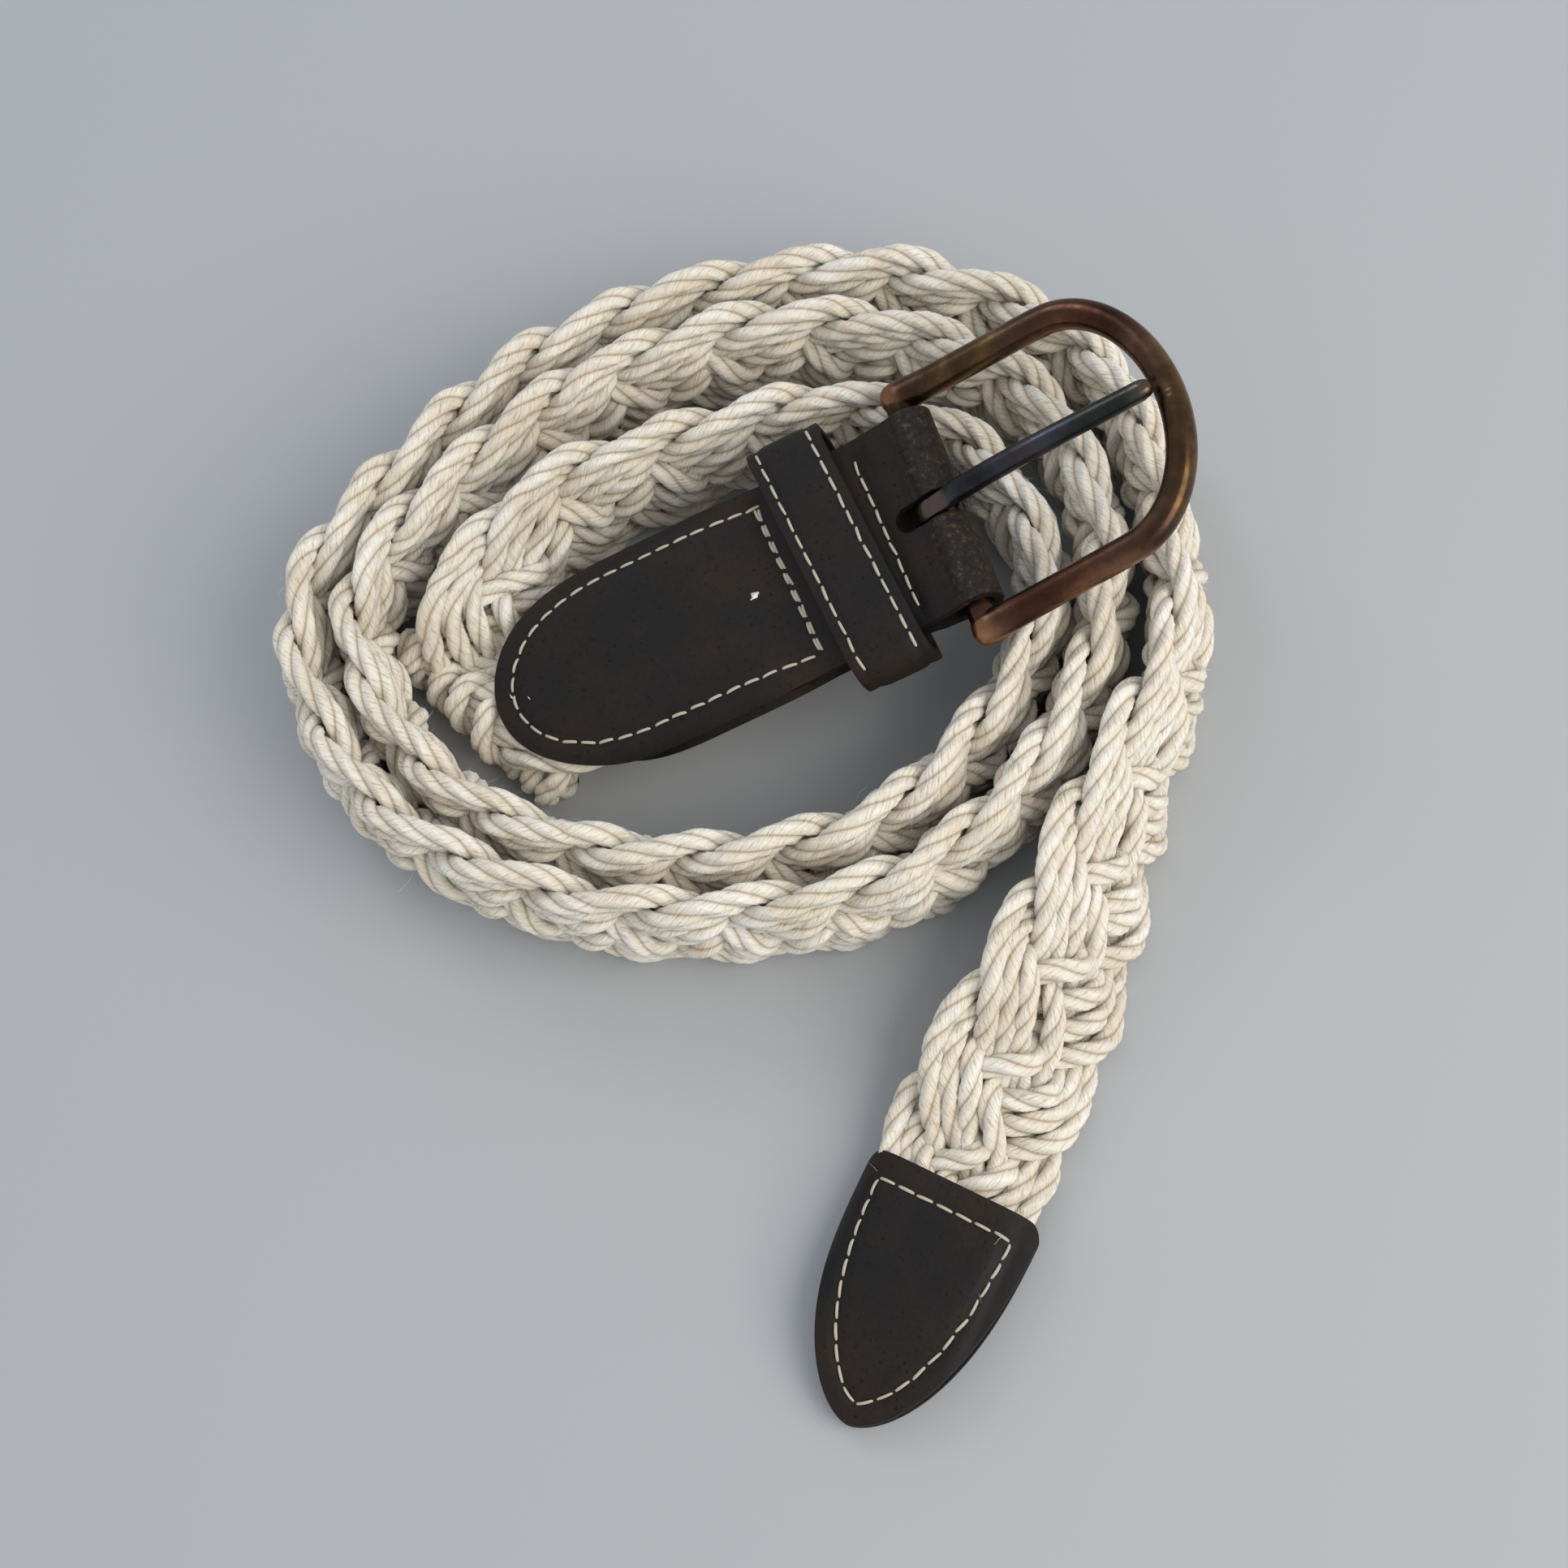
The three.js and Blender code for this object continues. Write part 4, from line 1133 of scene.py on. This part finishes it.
def flip_out(made):
    """Turns a closed mesh so that its faces point out."""
    work = bmesh.new()
    work.from_mesh(made.data)
    bmesh.ops.recalc_face_normals(work, faces=work.faces)
    work.to_mesh(made.data)
    work.free()


class BELT_OT_tip(bpy.types.Operator):
    """Cut the tip's two leathers and sew them over the band's end"""

    bl_idname = "belt.tip"
    bl_label = "Sew the tip"

    def execute(self, context):
        leather = context.scene.belt_leather
        material = leather_material("oiled_cowhide_tip", DARK_TINT, 7.7)
        # Rows lie closer at the straight edge's corners and at the point
        down = np.concatenate([np.linspace(0, 1, 12) ** 1.6 * 3, np.linspace(3.5, 41, 56),
                               41 + 6 * (1 - np.linspace(1, 0, 22)[1:] ** 2)])
        lanes = np.sin(np.linspace(-math.pi / 2, math.pi / 2, 55))
        across = tip_half(down)[:, None] * lanes[None]
        deep = np.broadcast_to(down[:, None], across.shape)
        outline = np.stack([down, tip_half(down)], 1)
        ring = even_line(np.vstack([outline, (outline * [1, -1])[::-1]]), 0.3)
        along = unit(np.gradient(ring, axis=0))
        inner = ring + np.stack([along[:, 1], -along[:, 0]], 1) * leather.inset
        edge = TIP["cross"]
        inner = inner[(inner[:, 0] > edge) & (inner[:, 0] < TIP["length"] - leather.inset)]
        half = inner[: len(inner) // 2]
        lip = float(np.interp(edge, half[:, 0], np.abs(half[:, 1])))
        cross = even_line([(edge, -lip), (edge, lip)])
        row = even_line(inner)
        sunk = groove(np.stack([deep, across], 2), [row, cross], depth=0.4)
        thick = TIP["thick"]
        top = 2 * thick + TIP["gap"]
        lift = tip_lift(deep, across)
        upper = tip_point(deep, across, top + lift - sunk)
        lower = tip_point(deep, across, top - thick + lift)
        made = sheet_mesh("tip_front_leather", upper, lower, material, "belt")
        flip_out(made)
        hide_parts("tip_front")
        flat = np.zeros_like(deep)
        upper, lower = tip_point(deep, across, flat + thick), tip_point(deep, across, flat)
        back = sheet_mesh("tip_back_leather", upper, lower, material, "belt")
        flip_out(back)
        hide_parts("tip_back")
        lines = []
        step = 0.2
        for seam in (row, cross):
            along, aside = seam.T
            places = tip_point(along, aside, top + tip_lift(along, aside) - 0.22)
            tilt = (tip_lift(along, aside + step) - tip_lift(along, aside - step)) / (2 * step)
            level = 0 * tilt
            leant = tip_point(level, tilt, level) - tip_point(level, level, level)
            lines.append((places, unit(np.array([0, 0, 1.0]) - leant)))
        sew("tip_stitches", lines, 0.05, 9)
        return {"FINISHED"}


class BELT_OT_buckle(bpy.types.Operator):
    """Cast the D frame and bend the prong round its bar"""

    bl_idname = "belt.buckle"
    bl_label = "Make the buckle"

    def execute(self, context):
        wear = context.scene.belt_metal.wear
        material = metal_material("brass_dark_patina_cast", 0.0, wear, CAST_TINT)
        rod, side = FRAME["rod"], FRAME["bar_half"]
        # Along, across, and half the rod's width and thickness, from the lug round the front
        half = [
            (-3.0, side, 1.0, 1.0),
            (-2.6, side, 2.0, 1.9),
            (-1.6, side, 2.9, 2.7),
            (0.4, side, 3.25, 3.1),
            (7, side - 0.2, 2.9, rod),
            (19, side - 0.5, rod, rod),
        ]
        for turn in range(0, 90, 10):
            x = FRAME["arm"] + (FRAME["depth"] - FRAME["arm"]) * sind(turn)
            half.append((x, FRAME["front_half"] * cosd(turn), rod, rod))
        rows = half + [(FRAME["depth"], 0, rod, rod)] + [(x, -y, w, t) for x, y, w, t in half[::-1]]
        line = fine_line(rows)
        place = partial(tilted, slope=BAR["frame"])
        sides = 24
        ring, faces = tube(line[:, :2], line[:, 2], line[:, 3], place, sides)
        # The front is dented where the prong rests
        dent = 2.5 - np.abs(line[:, 1])
        angle = 2 * math.pi * np.arange(sides) / sides
        top = np.maximum(np.sin(angle), 0)[None] * np.clip(dent, 0, 1)[:, None] * (line[:, 0] > 40)[:, None]
        up = tab_axes(BAR["frame"])[2]
        ring = ring - up * (top * 0.45)[..., None]
        lugs = 1 - smooth(-2.0, 4.0, line[:, 0])
        rub = 0.05 + 0.24 * lugs[:, None] + 0.16 * np.abs(np.cos(angle))[None] ** 3
        made = rod_object("buckle_frame_brass", ring, faces, material, "frame", rub)
        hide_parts("buckle_frame")
        bar = np.array([(0.0, y) for y in np.linspace(-side, side, 60)])
        radius = np.full(len(bar), BAR["radius"])
        ring, faces = tube(bar, radius, radius, place, sides)
        rub = np.full(ring.shape[:2], 0.02)
        rod_object("buckle_bar_brass", ring, faces, material, "frame", rub)
        dark = metal_material("brass_dark_patina_prong", 4.0, wear * 0.5, PRONG_TINT)
        loop = BAR["radius"] + CLEAR + 1.0
        # Along, off, and half the thickness and width, from the loop's end to the point
        rows = [(loop * cosd(turn), loop * sind(turn), 1.0, 2.1) for turn in range(-40, -271, -23)]
        rows += [(3.2, loop + 0.35, 1.35, 2.1), (6.5, loop + 1.0, 2.15, 2.15), (20, loop + 1.5, 2.15, 2.15),
                 (34, 5.0, 2.05, 2.05), (44.2, 4.5, 1.95, 1.95), (46.0, 4.5, 1.5, 1.5), (46.6, 4.5, 0.6, 0.6)]
        line = fine_line(rows)
        ring, faces = tube(line[:, :2], line[:, 2], line[:, 3], lambda p: place(p[..., [0, 2, 1]]), 20)
        rub = 0.28 * smooth(40, 45, line[:, 0]) + 0.3 * smooth(8, 2, line[:, 0]) + 0.02
        rub = np.tile(rub[:, None], (1, ring.shape[1]))
        made = rod_object("prong_brass", ring, faces, dark, "tongue", rub)
        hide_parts("prong")
        return {"FINISHED"}


# The camera's place over the floor in mm, its right, up and back directions, and its lens in mm
CAMERA_AT = (53.28, -162.0, 0.0)
CAMERA_AXES = ((0.9939, 0.0, -0.1103), (0.0351, 0.948, 0.3161), (0.1046, -0.318, 0.9423))
CAMERA_LENS = 58.88
FLOOR_HALF = 900


class BELT_OT_stage(bpy.types.Operator):
    """Set the pale floor, the window light and the camera"""

    bl_idname = "belt.stage"
    bl_label = "Set the stage"

    def execute(self, context):
        stage = context.scene.belt_stage
        scene = context.scene
        material, _, shader = new_material("painted_board_matt")
        set_inputs(shader, {"Base Color": linear("#A9ABAD"), "Roughness": 0.9, "IOR": 1.45})
        far = FLOOR_HALF
        corners = np.array([(-far, -far, 0), (far, -far, 0), (far, far, 0), (-far, far, 0)]) + ORIGIN
        floor = add_mesh("floor", corners, np.array([[0, 1, 2, 3]]), material)
        camera = bpy.data.cameras.new("photo_camera")
        camera.sensor_width = 36
        camera.sensor_fit = "HORIZONTAL"
        camera.lens = CAMERA_LENS
        made = bpy.data.objects.new("photo_camera", camera)
        scene.collection.objects.link(made)
        turn = Matrix(CAMERA_AXES).transposed().to_4x4()
        spot = (np.array(CAMERA_AT) - ORIGIN) * MM
        made.matrix_world = Matrix.Translation((spot[0], spot[1], stage.height)) @ turn
        scene.camera = made
        self.lamp(scene, "window", (0.7, -0.3, 0.7), 0.8, stage.light, "#FFFAF2")
        self.lamp(scene, "sky_side", (-0.5, 0.7, 0.8), 0.35, stage.light * 0.25, "#E9F0FF")
        world = bpy.data.worlds.new("sky")
        scene.world = world
        world.use_nodes = True
        set_inputs(world.node_tree.nodes["Background"], {"Color": linear("#E8EDF3"), "Strength": 0.8})
        scene.view_settings.view_transform = "Standard"
        return {"FINISHED"}

    def lamp(self, scene, name, place, size, power, colour):
        """One square soft light that faces the belt."""
        data = bpy.data.lights.new(name, "AREA")
        data.shape = "SQUARE"
        data.size = size
        data.energy = power
        data.color = linear(colour)[:3]
        made = bpy.data.objects.new(name, data)
        made.location = place
        made.rotation_mode = "QUATERNION"
        made.rotation_quaternion = Vector(place).to_track_quat("Z", "Y")
        scene.collection.objects.link(made)


class BELT_PT_panel(bpy.types.Panel):
    """Sidebar panel of the belt"""

    bl_label = "Plaited belt"
    bl_idname = "BELT_PT_panel"
    bl_space_type = "VIEW_3D"
    bl_region_type = "UI"
    bl_category = "Belt"

    def draw(self, context):
        layout = self.layout
        for name in ("belt_band", "belt_leather", "belt_metal", "belt_stage"):
            box = layout.box()
            settings = getattr(context.scene, name)
            for key in settings.bl_rna.properties.keys():
                if key not in ("rna_type", "name"):
                    box.prop(settings, key)
        for operator in OPERATORS:
            layout.operator(operator.bl_idname)


OPERATORS = (BELT_OT_plait, BELT_OT_tab, BELT_OT_keeper, BELT_OT_tip, BELT_OT_buckle, BELT_OT_stage)
SETTINGS = {
    "belt_band": BandSettings,
    "belt_leather": LeatherSettings,
    "belt_metal": MetalSettings,
    "belt_stage": StageSettings,
}


def register():
    for kind in (*SETTINGS.values(), *OPERATORS, BELT_PT_panel):
        bpy.utils.register_class(kind)
    for name, kind in SETTINGS.items():
        setattr(bpy.types.Scene, name, bpy.props.PointerProperty(type=kind))


def unregister():
    for name in SETTINGS:
        delattr(bpy.types.Scene, name)
    for kind in (BELT_PT_panel, *reversed(OPERATORS), *reversed(list(SETTINGS.values()))):
        bpy.utils.unregister_class(kind)


def main():
    register()
    bpy.ops.belt.stage()
    bpy.ops.belt.plait()
    bpy.ops.belt.tab()
    bpy.ops.belt.keeper()
    bpy.ops.belt.tip()
    bpy.ops.belt.buckle()


if __name__ == "__main__":
    main()
